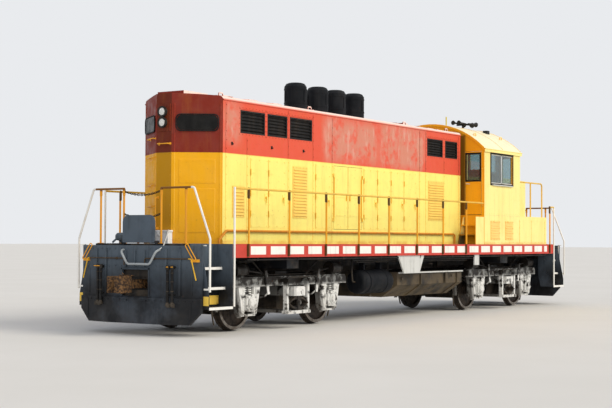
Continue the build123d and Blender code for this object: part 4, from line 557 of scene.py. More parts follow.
class Shape:
    """Closed shells for one piece. Places and lengths are in metres, the sizes of sections in millimetres."""

    def __init__(self, name, finish, edge=0, body="locomotive"):
        self.name, self.finish, self.edge, self.body = name, finish, edge, body
        self.points, self.faces = [], []

    def shell(self, points, faces):
        start = len(self.points)
        self.points += [tuple(point) for point in points]
        self.faces += [tuple(start + index for index in face) for face in faces]

    def box(self, x_ends, y_ends, z_ends):
        x_ends, y_ends = (sorted(v * way for v in pair) for pair, way in zip((x_ends, y_ends), image))
        self.shell([(x, y, z) for x in x_ends for y in y_ends for z in sorted(z_ends)], box_faces)

    def slab(self, middle, along, wide, deep, length, width, thickness):
        """A box turned to three unit vectors: length along, width wide, thickness from middle along deep."""
        middle, along, wide, deep = at(middle), at(along), at(wide), at(deep)
        corners = [middle + along * (a * length / 2) + wide * (b * width / 2) + deep * (c * mm(thickness))
                   for a in (-1, 1) for b in (-1, 1) for c in (0, 1)]
        self.shell(corners, box_faces)

    def prism(self, outline, shift):
        """The flat outline, a list of points, swept by the vector shift."""
        count = len(outline)
        near = [at(point) for point in outline]
        far = [point + at(shift) for point in near]
        walls = [(i, (i + 1) % count, count + (i + 1) % count, count + i) for i in range(count)]
        self.shell(near + far, [tuple(range(count)), tuple(range(2 * count - 1, count - 1, -1))] + walls)

    def turned(self, profile, origin, axis, count=24):
        """A lathe shape: profile holds radius and distance along axis, from axis to axis."""
        origin, (axis, first, second) = at(origin), across(at(axis))
        points, rings, faces = [], [], []
        for radius, along in profile:
            centre = origin + axis * mm(along)
            made = circle(centre, first, second, mm(radius), count) if radius else [centre]
            rings.append(range(len(points), len(points) + len(made)))
            points += made
        for near, far in zip(rings, rings[1:]):
            for i in range(count):
                j = (i + 1) % count
                if len(near) > 1 and len(far) > 1:
                    faces.append((near[i], near[j], far[j], far[i]))
                elif len(far) > 1:
                    faces.append((near[0], far[i], far[j]))
                elif len(near) > 1:
                    faces.append((near[i], near[j], far[0]))
        self.shell(points, faces)

    def rod(self, radius, length, origin, axis, count=16, start=0):
        end = start + length
        self.turned([(0, start), (radius, start), (radius, end), (0, end)], origin, axis, count)

    def ring(self, origin, axis, outer, inner, depth, count=32):
        """A flat washer-like ring from origin along axis."""
        origin, (axis, first, second) = at(origin), across(at(axis))
        loops = [circle(origin + axis * mm(along), first, second, mm(radius), count)
                 for radius, along in ((outer, 0), (outer, depth), (inner, depth), (inner, 0))]
        faces = []
        for i in range(count):
            near, far = 4 * i, 4 * ((i + 1) % count)
            faces += [(near + k, near + (k + 1) % 4, far + (k + 1) % 4, far + k) for k in range(4)]
        self.shell([point for points in zip(*loops) for point in points], faces)

    def tube(self, route, radius, bend=0, count=10):
        """A round bar along the route's points, with its corners bent to a radius."""
        path = rounded([at(point) for point in route], bend)
        last = len(path) - 1
        tangents = [(path[min(i + 1, last)] - path[max(i - 1, 0)]).normalized() for i in range(last + 1)]
        side = tangents[0].orthogonal().normalized()
        points = [path[0]]
        for centre, tangent in zip(path, tangents):
            side = (side - tangent * side.dot(tangent)).normalized()
            points += circle(centre, side, tangent.cross(side), mm(radius), count)
        points.append(path[-1])
        around = [(i, (i + 1) % count) for i in range(count)]
        faces = [(0, 1 + j, 1 + i) for i, j in around]
        for base in range(1, 1 + last * count, count):
            faces += [(base + i, base + j, base + count + j, base + count + i) for i, j in around]
        base = 1 + last * count
        self.shell(points, faces + [(base + i, base + j, len(points) - 1) for i, j in around])

    def build(self):
        """Makes the piece, with its sharp edges eased."""
        mesh = bpy.data.meshes.new(self.name)
        mesh.from_pydata(self.points, [], self.faces)
        work = bmesh.new()
        work.from_mesh(mesh)
        bmesh.ops.recalc_face_normals(work, faces=work.faces)
        if self.edge:
            sharp = [e for e in work.edges if len(e.link_faces) == 2 and e.calc_face_angle() > radians(40)]
            bmesh.ops.bevel(work, geom=sharp, offset=mm(self.edge), segments=1, affect="EDGES",
                            clamp_overlap=True)
        work.to_mesh(mesh)
        work.free()
        return dress(mesh, self.name, self.body, self.finish)


class Rows:
    """Points with the ways they face, for one piece's bolts or studs; radius and height in millimetres."""

    def __init__(self, name, finish, radius, height, tree="bolts", body="locomotive"):
        self.name, self.finish, self.tree, self.body = name, finish, tree, body
        self.sizes = {"Radius": mm(radius), "Height": mm(height)}
        self.points, self.facings = [], []

    def line(self, ends_of_line, facing, pitch):
        start, end = (at(point) for point in ends_of_line)
        count = max(1, round((end - start).length / pitch))
        self.points += [start.lerp(end, i / count) for i in range(count + 1)]
        self.facings += [tuple(at(facing))] * (count + 1)

    def circle(self, centre, facing, radius, count):
        axis, first, second = across(at(facing))
        self.points += circle(at(centre), first, second, mm(radius), count)
        self.facings += [tuple(axis)] * count

    def frame(self, x_ends, z_ends, y, pitch):
        """Round the edge of an upright rectangle on the vehicle's side."""
        for z in z_ends:
            self.line(run(x_ends, y, z), out, pitch)
        for x in x_ends:
            self.line(run(x, y, inset(z_ends, pitch)), out, pitch)

    def build(self):
        return grow(self.name, self.tree, self.points, self.finish, self.body, self.facings, **self.sizes)


def in_scene(thing):
    bpy.context.scene.collection.objects.link(thing)
    return thing


def baked(worker):
    """The plain mesh that an object's modifiers give; the object itself is taken away."""
    bpy.context.view_layer.update()
    mesh = bpy.data.meshes.new_from_object(worker.evaluated_get(bpy.context.evaluated_depsgraph_get()))
    worker.modifiers.clear()
    bpy.data.objects.remove(worker)
    return mesh


def dress(mesh, name, body, finish, sharp_angle=35):
    """Puts a finished mesh into the scene as a piece on that body, with its finish."""
    mesh.name = name
    mesh.shade_smooth()
    mesh.set_sharp_from_angle(angle=radians(sharp_angle))
    mesh.materials.clear()
    mesh.materials.append(paint[finish])
    piece = in_scene(bpy.data.objects.new(name, mesh))
    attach(piece, body)
    return piece


def build(*pieces):
    for piece in pieces:
        piece.build()


# Shapes by Geometry Nodes

def start_tree(name, **sizes):
    """A node tree with its geometry, named sizes and material as inputs, and a geometry output."""
    tree = bpy.data.node_groups.new(name, "GeometryNodeTree")
    tree.interface.new_socket("Geometry", in_out="INPUT", socket_type="NodeSocketGeometry")
    for label, value in sizes.items():
        kind = "NodeSocketInt" if isinstance(value, int) else "NodeSocketFloat"
        tree.interface.new_socket(label, in_out="INPUT", socket_type=kind).default_value = value
    tree.interface.new_socket("Material", in_out="INPUT", socket_type="NodeSocketMaterial")
    tree.interface.new_socket("Geometry", in_out="OUTPUT", socket_type="NodeSocketGeometry")
    return tree, add_node(tree, "NodeGroupInput").outputs


def close_tree(tree, sizes, shape, points=None, turn=None):
    """Sets the shape on each point, realizes the instances, sets the material and gives the result."""
    inputs = {"Points": points or sizes["Geometry"], "Instance": shape}
    if turn:
        inputs["Rotation"] = turn
    placed = add_node(tree, "GeometryNodeInstanceOnPoints", inputs)
    plain = add_node(tree, "GeometryNodeRealizeInstances", {"Geometry": placed})
    finished = add_node(tree, "GeometryNodeSetMaterial", {"Geometry": plain, "Material": sizes["Material"]})
    add_node(tree, "NodeGroupOutput", {"Geometry": finished})
    return tree


def facing_turn(tree):
    """The rotation that stands an instance up along the facing stored on its point."""
    facing = add_node(tree, "GeometryNodeInputNamedAttribute", {"Name": "facing"}, data_type="FLOAT_VECTOR")
    return add_node(tree, "FunctionNodeAlignRotationToVector", {"Vector": facing}, axis="Z")


def thicken(tree, curve, radius, resolution=6):
    """The curve as a closed round wire."""
    section = add_node(tree, "GeometryNodeCurvePrimitiveCircle", {"Resolution": resolution, "Radius": radius},
                       mode="RADIUS")
    return add_node(tree, "GeometryNodeCurveToMesh",
                    {"Curve": curve, "Profile Curve": section.outputs["Curve"], "Fill Caps": True})


def bolt_tree():
    """Six-sided bolt heads on washers, each turned by chance about its own axis."""
    tree, sizes = start_tree("bolt heads", Radius=mm(16), Height=mm(12), Seed=4)
    radius, tall = sizes["Radius"], sizes["Height"]
    head = add_node(tree, "GeometryNodeMeshCylinder", {"Vertices": 6, "Radius": radius, "Depth": tall})
    lift = add_node(tree, "ShaderNodeMath", {0: tall, 1: 0.5}, operation="MULTIPLY")
    raise_by = add_node(tree, "ShaderNodeCombineXYZ", {"Z": lift})
    raised = add_node(tree, "GeometryNodeTransform",
                      {"Geometry": head.outputs["Mesh"], "Translation": raise_by})
    wide = add_node(tree, "ShaderNodeMath", {0: radius, 1: 1.5}, operation="MULTIPLY")
    thin = add_node(tree, "ShaderNodeMath", {0: tall, 1: 0.4}, operation="MULTIPLY")
    washer = add_node(tree, "GeometryNodeMeshCylinder", {"Vertices": 10, "Radius": wide, "Depth": thin})
    bolt = add_node(tree, "GeometryNodeJoinGeometry")
    for part in (raised.outputs["Geometry"], washer.outputs["Mesh"]):
        tree.links.new(part, bolt.inputs[0])
    spin = add_node(tree, "FunctionNodeRandomValue", {"Min": 0.0, "Max": pi / 3, "Seed": sizes["Seed"]},
                    data_type="FLOAT")
    about = add_node(tree, "ShaderNodeCombineXYZ", {"Z": spin})
    turned = add_node(tree, "FunctionNodeRotateRotation", {"Rotation": facing_turn(tree), "Rotate By": about},
                      rotation_space="LOCAL")
    return close_tree(tree, sizes, bolt, turn=turned)


def stud_tree():
    """Low round studs, as on anti-slip treads and rivet rows."""
    tree, sizes = start_tree("round studs", Radius=mm(10), Height=mm(5))
    cone = add_node(tree, "GeometryNodeMeshCone", {"Vertices": 8, "Radius Bottom": sizes["Radius"],
                                                   "Depth": sizes["Height"], "Radius Top": mm(4)})
    return close_tree(tree, sizes, cone.outputs["Mesh"], turn=facing_turn(tree))


def coil_tree():
    """Helical springs standing on the points."""
    tree, sizes = start_tree("coil springs", Radius=mm(50), Height=mm(130), Wire=mm(11), Turns=4.0)
    helix = add_node(tree, "GeometryNodeCurveSpiral",
                     {"Resolution": 20, "Rotations": sizes["Turns"], "Start Radius": sizes["Radius"],
                      "End Radius": sizes["Radius"], "Height": sizes["Height"]})
    return close_tree(tree, sizes, thicken(tree, helix, sizes["Wire"], 8))


def chain_tree():
    """Oval links along the route's points, every other link turned a quarter."""
    tree, sizes = start_tree("chain", Link=mm(46), Wire=mm(5))
    route = add_node(tree, "GeometryNodeMeshToCurve", {"Mesh": sizes["Geometry"]})
    even = add_node(tree, "GeometryNodeResampleCurve", {"Curve": route, "Length": sizes["Link"]},
                    mode="LENGTH")
    loop = add_node(tree, "GeometryNodeCurvePrimitiveCircle", {"Resolution": 12, "Radius": sizes["Link"]},
                    mode="RADIUS")
    oval = add_node(tree, "GeometryNodeTransform",
                    {"Geometry": loop.outputs["Curve"], "Scale": (0.68, 0.4, 1.0)})
    link = thicken(tree, oval, sizes["Wire"])
    tangent = add_node(tree, "GeometryNodeInputTangent")
    along = add_node(tree, "FunctionNodeAlignRotationToVector", {"Vector": tangent}, axis="X")
    index = add_node(tree, "GeometryNodeInputIndex")
    odd = add_node(tree, "ShaderNodeMath", {0: index, 1: 2.0}, operation="MODULO")
    quarter = add_node(tree, "ShaderNodeMath", {0: odd, 1: pi / 2}, operation="MULTIPLY")
    about = add_node(tree, "ShaderNodeCombineXYZ", {"X": quarter})
    turned = add_node(tree, "FunctionNodeRotateRotation", {"Rotation": along, "Rotate By": about},
                      rotation_space="LOCAL")
    return close_tree(tree, sizes, link, points=even, turn=turned)


def guard_tree():
    """Round wire guards: rings about each point, on spokes."""
    tree, sizes = start_tree("fan guard", Radius=mm(360), Wire=mm(4))
    wires = add_node(tree, "GeometryNodeJoinGeometry")
    rings = 9
    for row in range(1, rings + 1):
        radius = add_node(tree, "ShaderNodeMath", {0: sizes["Radius"], 1: row / rings}, operation="MULTIPLY")
        loop = add_node(tree, "GeometryNodeCurvePrimitiveCircle", {"Resolution": 40, "Radius": radius},
                        mode="RADIUS")
        tree.links.new(loop.outputs["Curve"], wires.inputs[0])
    reach = add_node(tree, "ShaderNodeCombineXYZ", {"X": sizes["Radius"]})
    spoke = add_node(tree, "GeometryNodeCurvePrimitiveLine", {"Start": (0, 0, 0), "End": reach})
    for turn in range(12):
        turned = add_node(tree, "GeometryNodeTransform",
                          {"Geometry": spoke.outputs["Curve"], "Rotation": (0, 0, turn * pi / 6)})
        tree.links.new(turned.outputs["Geometry"], wires.inputs[0])
    return close_tree(tree, sizes, thicken(tree, wires, sizes["Wire"]))


trees = {"bolts": bolt_tree(), "studs": stud_tree(), "coils": coil_tree(), "chain": chain_tree(),
         "guards": guard_tree()}


def grow(name, tree, points, finish, body="locomotive", facings=None, edges=(), **sizes):
    """Runs a node tree on the points, and keeps its result as a plain piece."""
    start = bpy.data.meshes.new(name)
    start.from_pydata([tuple(point) for point in points], list(edges), [])
    if facings:
        stored = start.attributes.new("facing", "FLOAT_VECTOR", "POINT")
        stored.data.foreach_set("vector", [value for facing in facings for value in facing])
    worker = in_scene(bpy.data.objects.new(name, start))
    modifier = worker.modifiers.new("grow", "NODES")
    modifier.node_group = trees[tree]
    sizes["Material"] = paint[finish]
    for item in trees[tree].interface.items_tree:
        if item.in_out == "INPUT" and item.name in sizes:
            modifier[item.identifier] = sizes[item.name]
    return dress(baked(worker), name, body, finish)


# Hood

hood_length = (hood_corner, hood_front)
panel_low, panel_high = 1.927, 3.227
panel_face = hood_half + mm(8)
# Shut service doors, first x and last x
shut_doors = ((-5.77, -5.215), (-5.19, -4.635), (-3.56, -3.02), (-1.69, -1.145), (-1.12, -0.565),
              (-0.54, 0.015), (0.04, 0.595))
# Radiator and intake shutters, both ends in x and in z
shutters = (((-6.095, -5.31), (3.677, 4.107)), ((-5.234, -4.563), (3.677, 4.107)),
            ((-4.481, -3.687), (3.677, 4.107)), ((1.125, 1.9), (3.667, 4.077)),
            ((2.015, 2.645), (3.667, 4.077)))
# Upright seam strips, x and the height they reach
seams = ((-6.52, 4.22), (-5.87, 3.6), (-4.52, 4.22), (-3.64, 4.22), (-2.93, 4.22), (0.78, 4.22), (1.07, 4.22),
         (1.975, 3.6), (2.72, 4.22))
lifting_places = (-6.35, -5.09, -4.0)
lifting_z = 3.467
strap_heights = (0.2, 0.5, 0.8)
latch_z = 2.5


def grab_iron(shape, middle, along, outward, length, standoff=70):
    """A bent bar with both feet on the wall."""
    middle, along, outward = Vector(middle), Vector(along), Vector(outward)
    start, end = middle - along * (length / 2), middle + along * (length / 2)
    lift = outward * mm(standoff)
    shape.tube([start, start + lift, end + lift, end], 11, bend=30)
    for foot in (start, end):
        shape.rod(26.4, 6, foot, outward, 12)


def rounded_loop(middle, along, wide, length, height, corner):
    """A closed route round an upright rectangle with rounded corners."""
    a, b = length / 2, height / 2
    turns = [(0, -b), (a, -b), (a, b), (-a, b), (-a, -b), (0, -b)]
    return rounded([Vector(middle) + Vector(along) * x + Vector(wide) * z for x, z in turns], corner)


def eye(shape, x, y, z, reach, height, radius, bend):
    """A lifting eye: a bar bent to an upright loop."""
    shape.tube([(x - mm(reach), y, z), (x - mm(reach), y, z + mm(height)), (x + mm(reach), y, z + mm(height)),
                (x + mm(reach), y, z)], radius, bend)


def hood_fittings():
    """Seam strips, door hinges and latches, foot angle, roof edge moulding and radiator cores."""
    strips = Shape("hood_seam_strips", "hood", 1.5)
    irons = Shape("service_door_irons", "hood", 1.5)
    hooks = Shape("lifting_eyes", "black", 2)
    bolts = Rows("hood_bolts", "hood", 9, 7)
    cores = Shape("radiator_cores", "black")
    wall, face = hood_half, panel_face
    for _ in each(sides):
        for x, top in seams:
            strips.box(span(x, 19), (wall, wall + mm(5)), (deck + mm(70), top))
            bolts.line(run(x, wall + mm(5), (deck + 0.15, top - 0.05)), out, 0.16)
        for reach, height in ((26, 9), (8, 70)):
            strips.box(hood_length, (wall, wall + mm(reach)), (deck, deck + mm(height)))
        bolts.line(run(inset(hood_length, 0.1), wall + mm(8), deck + mm(44)), out, 0.3)
        for proud, z, radius, count in ((4, hood_top, 14, 10), (2, band_split, 6, 6)):
            strips.tube(run(hood_length, wall + mm(proud), z), radius, count=count)
        for door in shut_doors:
            for share in strap_heights:
                z = panel_low + share * (panel_high - panel_low)
                irons.tube(run(door[0], face + mm(8), span(z, 60)), 13)
                irons.box((door[0], door[0] + 0.13), (face, face + mm(7)), span(z, 22))
            x = door[1] - 0.07
            irons.box(span(x, 34), (face, face + mm(6)), span(latch_z, 70))
            irons.rod(20, 26, (x, face, latch_z), out, 12)
            irons.box(span(x, 12), (face + mm(24), face + mm(36)), (latch_z - mm(110), latch_z + mm(24)))
            bolts.frame(inset(door, 0.03), inset((panel_low, panel_high), 0.03), face, 0.2)
        for x_ends, z_ends in louvre_areas:
            bolts.frame(inset(x_ends, 0.015), inset(z_ends, 0.02), face, bolt_pitch)
        for x_ends, z_ends in shutters:
            cores.box(inset(x_ends, -0.03), (0.86, 0.89), inset(z_ends, -0.03))
            strips.tube(run(inset(x_ends, -0.02), wall + mm(3), z_ends[1] + mm(22)), 8, count=8)
            bolts.frame(inset(x_ends, -0.02), (z_ends[0] - 0.02, z_ends[1] + 0.045), wall, 0.1)
        for x in lifting_places:
            z = lifting_z - mm(10)
            hooks.box(span(x, 26), (wall, wall + mm(8)), span(lifting_z, 28))
            hooks.tube([(x - mm(16), wall, z), (x - mm(16), wall + mm(34), z), (x + mm(16), wall + mm(34), z),
                        (x + mm(16), wall, z)], 7, bend=12)
    build(strips, irons, hooks, bolts, cores)


def engine_door_irons():
    """Straps and edge bolts on each engine door, which swing with it."""
    for side in each(sides):
        for end in (-1, 1):
            name = f"engine_door_{side_names[side]}_{end_names[end]}"
            door_low, door_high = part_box(name)
            leaf = inset((door_low.x, door_high.x), mm(30))
            free_x = leaf[1] if end < 0 else leaf[0]
            straps = Shape(name + "_straps", "hood", 1.5, name)
            for share in strap_heights[:2]:
                z = door_low.z + (share + 0.02) * (door_high.z - door_low.z)
                straps.box(inset(leaf, 0.04), (hood_half, hood_half + mm(6)), span(z, 20))
            bolts = Rows(name + "_bolts", "hood", 8, 6, body=name)
            bolts.frame(leaf, inset((door_low.z, door_high.z), 0.05), hood_half, 0.2)
            # None on the free edge beside the latch
            bolts.points = [spot for spot in bolts.points if abs(spot.x - free_x) > mm(20) or spot.z < 2.4]
            bolts.facings = bolts.facings[:len(bolts.points)]
            build(straps, bolts)


board_z = 3.827
lamp_radius = 92
rear_lamps = [(hood_end - mm(60), 0, z) for z in (4.027, board_z)]
front_lamps = [(cab_high.x + mm(70), y, 4.327) for y in (-mm(105), mm(105))]
hatches = ((1.82, 2.62), (2.72, 3.16))
hatch_width = 0.66
locker_lid = 1.83
# The thin cable from the locker to the jumper cable under the platform
cable_route = [(-7.24, -0.16, 1.85), (-7.3, -0.223, 1.865), (-7.5, -0.36, 1.76), (-7.72, -0.51, 1.68),
               (-7.9, -0.613, 1.575), (-7.965, -0.575, 1.515)]


def hood_end_fittings():
    """Hatches, rungs, number board frames, lamp plate, locker and its cable on the long hood's end."""
    cable = Shape("locker_cable", "pale hose")
    plates = Shape("hood_end_hatches", "hood", 2)
    frames = Shape("number_board_frames_rear", "rubber")
    rungs = Shape("hood_end_grab_irons", "rail")
    locker = Shape("white_locker", "locker", 4)
    bolts = Rows("hood_end_bolts", "hood", 9, 7)
    corner, tip = Vector((hood_corner, hood_half, 0)), Vector((hood_end, hood_end_half, 0))
    along = (tip - corner).normalized()
    outward = Vector((-abs(along.y), abs(along.x), 0))

    def spot(reach, z, proud=0):
        """A place on the slanted corner, reach from its middle."""
        return (corner + tip) / 2 + along * reach + outward * mm(proud) + Vector((0, 0, z))

    for side in each(sides):
        frames.tube(rounded_loop(spot(0, board_z, 20), along, up, 0.77, 0.3, 95), 11)
        edge = hatch_width / 2 - 0.03
        for hatch in hatches:
            plates.slab(spot(0, sum(hatch) / 2), along, up, outward, hatch_width, hatch[1] - hatch[0], 6)
            for z in inset(hatch, 0.03):
                bolts.line([spot(reach, z, 6) for reach in (-edge, edge)], outward, 0.12)
            for reach in (-edge, edge):
                bolts.line([spot(reach, z, 6) for z in inset(hatch, 0.12)], outward, 0.16)
        for reach in (-0.42, 0.42):
            plates.slab(spot(reach, 2.93), up, along, outward, 2.5, mm(30), 5)
        # Rungs on the left corner only
        if side > 0:
            for z in (2.3, 2.68, 3.2, 3.55):
                grab_iron(rungs, spot(0.2, z), along, outward, 0.42)
    plates.box((hood_end - mm(14), hood_end), (-0.15, 0.15), (3.67, 4.17))
    plates.tube(run(hood_end - mm(4), (-hood_end_half, hood_end_half), band_split), 6)
    grab_iron(rungs, (hood_end, 0.13, 2.18), up, back, 0.56)
    grab_iron(rungs, (hood_end, -0.02, 3.44), out, back, 0.26)
    bolts.line(run(hood_end, -0.15, (1.95, 3.6)), back, 0.18)
    locker.box((hood_end - 0.13, hood_end), (-0.215, 0.215), (deck, locker_lid))
    locker.box((hood_end - 0.145, hood_end), (-0.23, 0.23), (locker_lid, locker_lid + mm(32)))
    locker.box((hood_end - 0.15, hood_end - 0.13), (-0.03, 0.03), (1.76, 1.845))
    cable.tube(cable_route, 10, bend=70)
    build(cable, plates, frames, rungs, locker, bolts)


def lamp_fittings():
    """A dark rim and a domed lens in front of each lamp's reflector, and the plate round the front lamps."""
    rims = Shape("headlight_rims", "black")
    lenses = Shape("headlight_lenses", "lens")
    plate = Shape("lamp_plate_front", "cab", 3)
    inner = lamp_radius - 22
    dome = [(0, 2), (inner, 2), (inner, 6), (lamp_radius * 0.6, 15), (lamp_radius * 0.3, 19), (0, 20)]
    for lamps_there, way in ((rear_lamps, back), (front_lamps, ahead)):
        for spot in lamps_there:
            rims.ring(spot, way, lamp_radius + 9, inner, 14)
            rims.ring(Vector(spot) - Vector(way) * mm(30), way, lamp_radius + 6, lamp_radius, 16)
            lenses.turned(dome, spot, way, 28)
    plate.box((cab_high.x, cab_high.x + mm(30)), (-0.25, 0.25), (4.2, 4.45))
    for y in (-0.52, 0.52):
        plate.tube(rounded_loop((cab_high.x + mm(20), y, 4.287), out, up, 0.45, 0.17, 50), 9)
    build(rims, lenses, plate)


def arc_height(y, crown, half, rise):
    """Height of a roof's arc at a distance y from the middle."""
    radius = (half ** 2 + rise ** 2) / (2 * rise)
    return crown - radius + sqrt(radius ** 2 - y ** 2)


def hood_roof_height(y):
    return arc_height(y, hood_crown, hood_half, mm(50))


def cab_roof_height(y):
    return arc_height(y, cab_roof_high.z, 1.53, 0.65)


drum_places = (-2.935, -2.095, -1.39, -0.62)
fan_places = (-5.7, -4.898, -4.084)
roof_seams = (-6.25, -3.55, -0.15, 0.86, 1.75, 2.7)
roof_eyes = (-6.4, -3.45, 0.45, 2.5)


def roof_details():
    """Fan guards, exhaust drum bands, hatch seams, lifting eyes and bolts on the hood's roof."""
    seams_over = Shape("roof_seams", "hood")
    eyes = Shape("roof_lifting_eyes", "hood")
    bands = Shape("exhaust_bands", "stack", 2)
    fan_bolts = Rows("fan_bolts", "hood", 12, 9)
    drum_bolts = Rows("exhaust_bolts", "stack", 10, 8)
    fan_top = high("roof_fans").z
    radius, drum_top = high("exhaust_stacks").y, high("exhaust_stacks").z
    drum = radius * 1000
    for x in roof_seams:
        arc = [hood_half * 0.93 * (i / 5 - 1) for i in range(11)]
        seams_over.tube([(x, y, hood_roof_height(y) + mm(3)) for y in arc], 12, count=6)
    for x in roof_eyes:
        for y in (-0.7, 0.7):
            eye(eyes, x, y, hood_roof_height(y), 60, 70, 13, 45)
    for x in fan_places:
        fan_bolts.circle((x, 0, fan_top), up, 357, 16)
    for x in drum_places:
        for z in (4.55, 4.84):
            bands.ring((x, 0, z), up, drum + 7, drum - 2, 30, 40)
        bands.turned([(0, 0), (drum - 100, 0), (drum * 0.3, 18), (0, 24)], (x, 0, drum_top - mm(28)), up, 32)
        bands.box(span(x, 14), (-radius - mm(5), -radius + mm(12)), (4.53, 4.89))
        for i in range(3):
            turn = 2 * pi * i / 3 + 0.5
            way, square = Vector((cos(turn), sin(turn), 0)), Vector((-sin(turn), cos(turn), 0))
            bands.slab(Vector((x, 0, 4.71)) + way * (radius - mm(6)), up, square, way, 0.22, 0.05, 18)
        drum_bolts.circle((x, 0, drum_top - mm(26)), up, drum - 70, 10)
    build(seams_over, eyes, bands, fan_bolts, drum_bolts)
    grow("fan_guards", "guards", [(x, 0, fan_top + mm(4)) for x in fan_places], "hood",
         Radius=0.362, Wire=mm(4))


# Walkways, rails and steps

posts = (-6.64, -5.36, -4.09, -2.87, -1.66, -0.435, 0.775, 1.93, 6.8)
# Treads of the corner steps, height, inner y, outer y
treads = ((0.517, 1.15, 1.52), (0.857, 1.10, 1.36), (1.207, 1.10, 1.29))
step_inner, step_outer = 7.08, 7.75
end_rail_x = 7.755
sleeve_profile = [(0, 0), (20, 0), (25, 10), (25, 150), (21, 165), (0, 165)]
ball_profile = [(0, -27), (18, -22), (26, -8), (26, 8), (18, 22), (0, 27)]
knob_profile = [(0, 0), (22, 0), (25, 10), (25, 120), (0, 126)]
chain_reach, chain_sag = 0.42, 0.07


def rail_fittings():
    """Sleeves on the post tops, bolted feet on the sills, and chains across the end platforms."""
    sleeves = Shape("rail_sleeves", "post")
    feet = Shape("rail_feet", "post", 2)
    knobs = Shape("end_post_sleeves", "end rail")
    bolts = Rows("rail_foot_bolts", "post", 8, 7)
    y, foot = rail_y - mm(7), sill_half + mm(9)
    for _ in each(sides):
        for x in posts:
            sleeves.turned(sleeve_profile, (x, y, rail_top - mm(186)), up, 14)
            sleeves.turned(ball_profile, (x, y, rail_top - mm(19)), ahead, 14)
            feet.box(span(x, 32), (sill_half, foot), (1.395, 1.6))
            for z in (1.43, 1.56):
                bolts.line(run(span(x, 17), foot, z), out, mm(34))
    for end in each(ends):
        for y in (-1.0, -0.44, 0.44, 1.0):
            feet.box(span(end_rail_x, 42), span(y, 42), (deck, deck + mm(12)))
            knobs.turned(knob_profile, (end_rail_x, y, rail_top - mm(145)), up, 14)
        for z in (rail_top - mm(70), rail_top - mm(480)):
            steps = [(i - 8) / 8 for i in range(17)]
            route = [(end * end_rail_x, chain_reach * step, z - chain_sag * (1 - step ** 2))
                     for step in steps]
            grow(f"platform_chain_{end_names[end]}_{round(z * 100)}", "chain", route, "black",
                 edges=[(i, i + 1) for i in range(16)], Link=mm(40), Wire=mm(6))
    build(sleeves, feet, knobs, bolts)


def step_fittings():
    """White nosings, studs and yellow kick plates on the four corner steps, studs on the end platforms."""
    nosings = Shape("step_nosings", "white", 1)
    kicks = Shape("kick_plates", "kick plate", 1.5)
    studs = Rows("tread_studs", "slate", 13, 5, "studs")
    bolts = Rows("kick_plate_bolts", "kick plate", 9, 7)
    kick_heights = (0.55, 0.71)
    for end in (-1, 1):
        x_ends = tuple(sorted((end * step_inner, end * step_outer)))
        for side in each(sides):
            for z, inner, outer in treads:
                nosings.box(x_ends, (outer, outer + mm(9)), (z - mm(42), z + mm(3)))
                nosings.box(x_ends, (outer - mm(45), outer + mm(9)), (z, z + mm(4)))
                for row in range(max(1, round((outer - inner - 0.09) / 0.05))):
                    studs.line(run(inset(x_ends, 0.05), inner + 0.04 + row * 0.05, z), up, 0.05)
            plate_y = 1.214 if side > 0 else 1.218
            kicks.box((x_ends[0] + 0.01, x_ends[1] - 0.02), (plate_y - mm(4), plate_y), kick_heights)
            bolts.frame((x_ends[0] + 0.05, x_ends[1] - 0.06), inset(kick_heights, 0.02), plate_y, 0.12)
            edge = end * step_outer
            kicks.box((edge, edge + end * mm(4)), (1.37, 1.512), kick_heights)
            for y_ends, z_ends in (((1.366, 1.388), (0.86, 1.6)), ((1.366, 1.46), (1.58, 1.6))):
                nosings.box((edge, edge + end * mm(5)), y_ends, z_ends)
        for row in range(33):
            studs.line(run((end * 7.24, end * 7.72), -1.12 + row * 0.07, deck), up, 0.07)
    build(nosings, kicks, studs, bolts)


# Pilots and platform ends

pilot_face, pilot_wing, pilot_middle, pilot_side = 7.93, 7.79, 0.65, 1.4
plough_lift = mm(40)


def pilot_x(y):
    slope = (pilot_face - pilot_wing) / (pilot_side - pilot_middle)
    return pilot_face - max(0, abs(y) - pilot_middle) * slope


